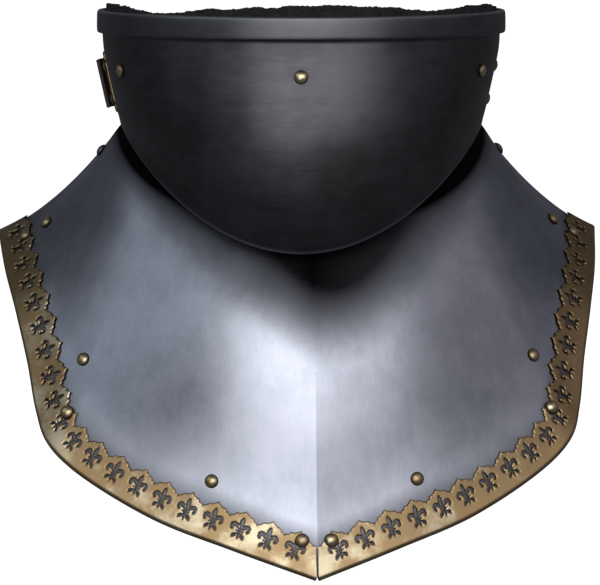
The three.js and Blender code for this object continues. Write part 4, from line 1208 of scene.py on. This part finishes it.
def make_floor():
    """Wide plane under the gorget, glowing evenly so that it meets the surroundings without a line."""
    mesh = bpy.data.meshes.new("floor")
    corners = ((-1, -1), (1, -1), (1, 1), (-1, 1))
    mesh.from_pydata([(x * FLOOR_REACH, y * FLOOR_REACH, FLOOR_HEIGHT_MM * MM) for x, y in corners],
                     [], [(0, 1, 2, 3)])
    floor = bpy.data.objects.new("floor", mesh)
    bpy.context.scene.collection.objects.link(floor)
    material = bpy.data.materials.new("pale_floor")
    material.use_nodes = True
    shader = material.node_tree.nodes["Principled BSDF"]
    shader.inputs["Base Color"].default_value = (0.9, 0.9, 0.9, 1)
    shader.inputs["Roughness"].default_value = 0.9
    shader.inputs["Emission Color"].default_value = WHITE
    shader.inputs["Emission Strength"].default_value = 1.0
    mesh.materials.append(material)
    floor.visible_glossy = False
    floor.visible_diffuse = False


def make_world():
    """Dim surroundings for what the metal mirrors, and white for the camera."""
    world = bpy.data.worlds.new("studio")
    bpy.context.scene.world = world
    world.use_nodes = True
    tree = world.node_tree
    tree.nodes.clear()
    dim = tree.nodes.new("ShaderNodeBackground")
    dim.inputs["Color"].default_value = DIM
    white = tree.nodes.new("ShaderNodeBackground")
    white.inputs["Color"].default_value = WHITE
    path = tree.nodes.new("ShaderNodeLightPath")
    mix = tree.nodes.new("ShaderNodeMixShader")
    tree.links.new(path.outputs["Is Camera Ray"], mix.inputs[0])
    tree.links.new(dim.outputs[0], mix.inputs[1])
    tree.links.new(white.outputs[0], mix.inputs[2])
    output = tree.nodes.new("ShaderNodeOutputWorld")
    tree.links.new(mix.outputs[0], output.inputs[0])


# Softboxes: turn from the front and height in degrees, distance, width and height in metres, power, tint
SOFTBOXES = {
    "key": (-8, 19, 1.8, 1.45, 1.2, 12.2, (1.0, 0.985, 0.965)),
    "fill": (25, 19, 1.8, 0.85, 1.2, 4.2, (1.0, 0.98, 0.96)),
    "front": (-17, -9, 2.4, 1.4, 0.6, 2.9, (0.96, 0.98, 1.0)),
    "left": (-62, 32, 2.2, 1.9, 1.5, 3.8, (0.86, 0.94, 1.0)),
    "right": (64, 30, 2.2, 1.9, 1.5, 1.95, (1.0, 0.93, 0.97)),
}


def make_softbox(name, turn_deg, up_deg, away, width, height, power, tint):
    """Rectangular lamp that faces the gorget from a direction."""
    light = bpy.data.lights.new(name, "AREA")
    light.shape = "RECTANGLE"
    light.size, light.size_y = width, height
    light.energy = power
    light.color = tint
    lamp = bpy.data.objects.new(name, light)
    bpy.context.scene.collection.objects.link(lamp)
    turn, up = math.radians(turn_deg), math.radians(up_deg)
    lamp.location = AIM + away * Vector((math.sin(turn) * math.cos(up), -math.cos(turn) * math.cos(up),
                                         math.sin(up)))
    lamp.rotation_euler = (AIM - lamp.location).to_track_quat("-Z", "Y").to_euler()
    lamp.visible_camera = False


make_floor()
make_world()
for name, values in SOFTBOXES.items():
    make_softbox(name, *values)
bpy.context.scene.view_settings.view_transform = "Standard"
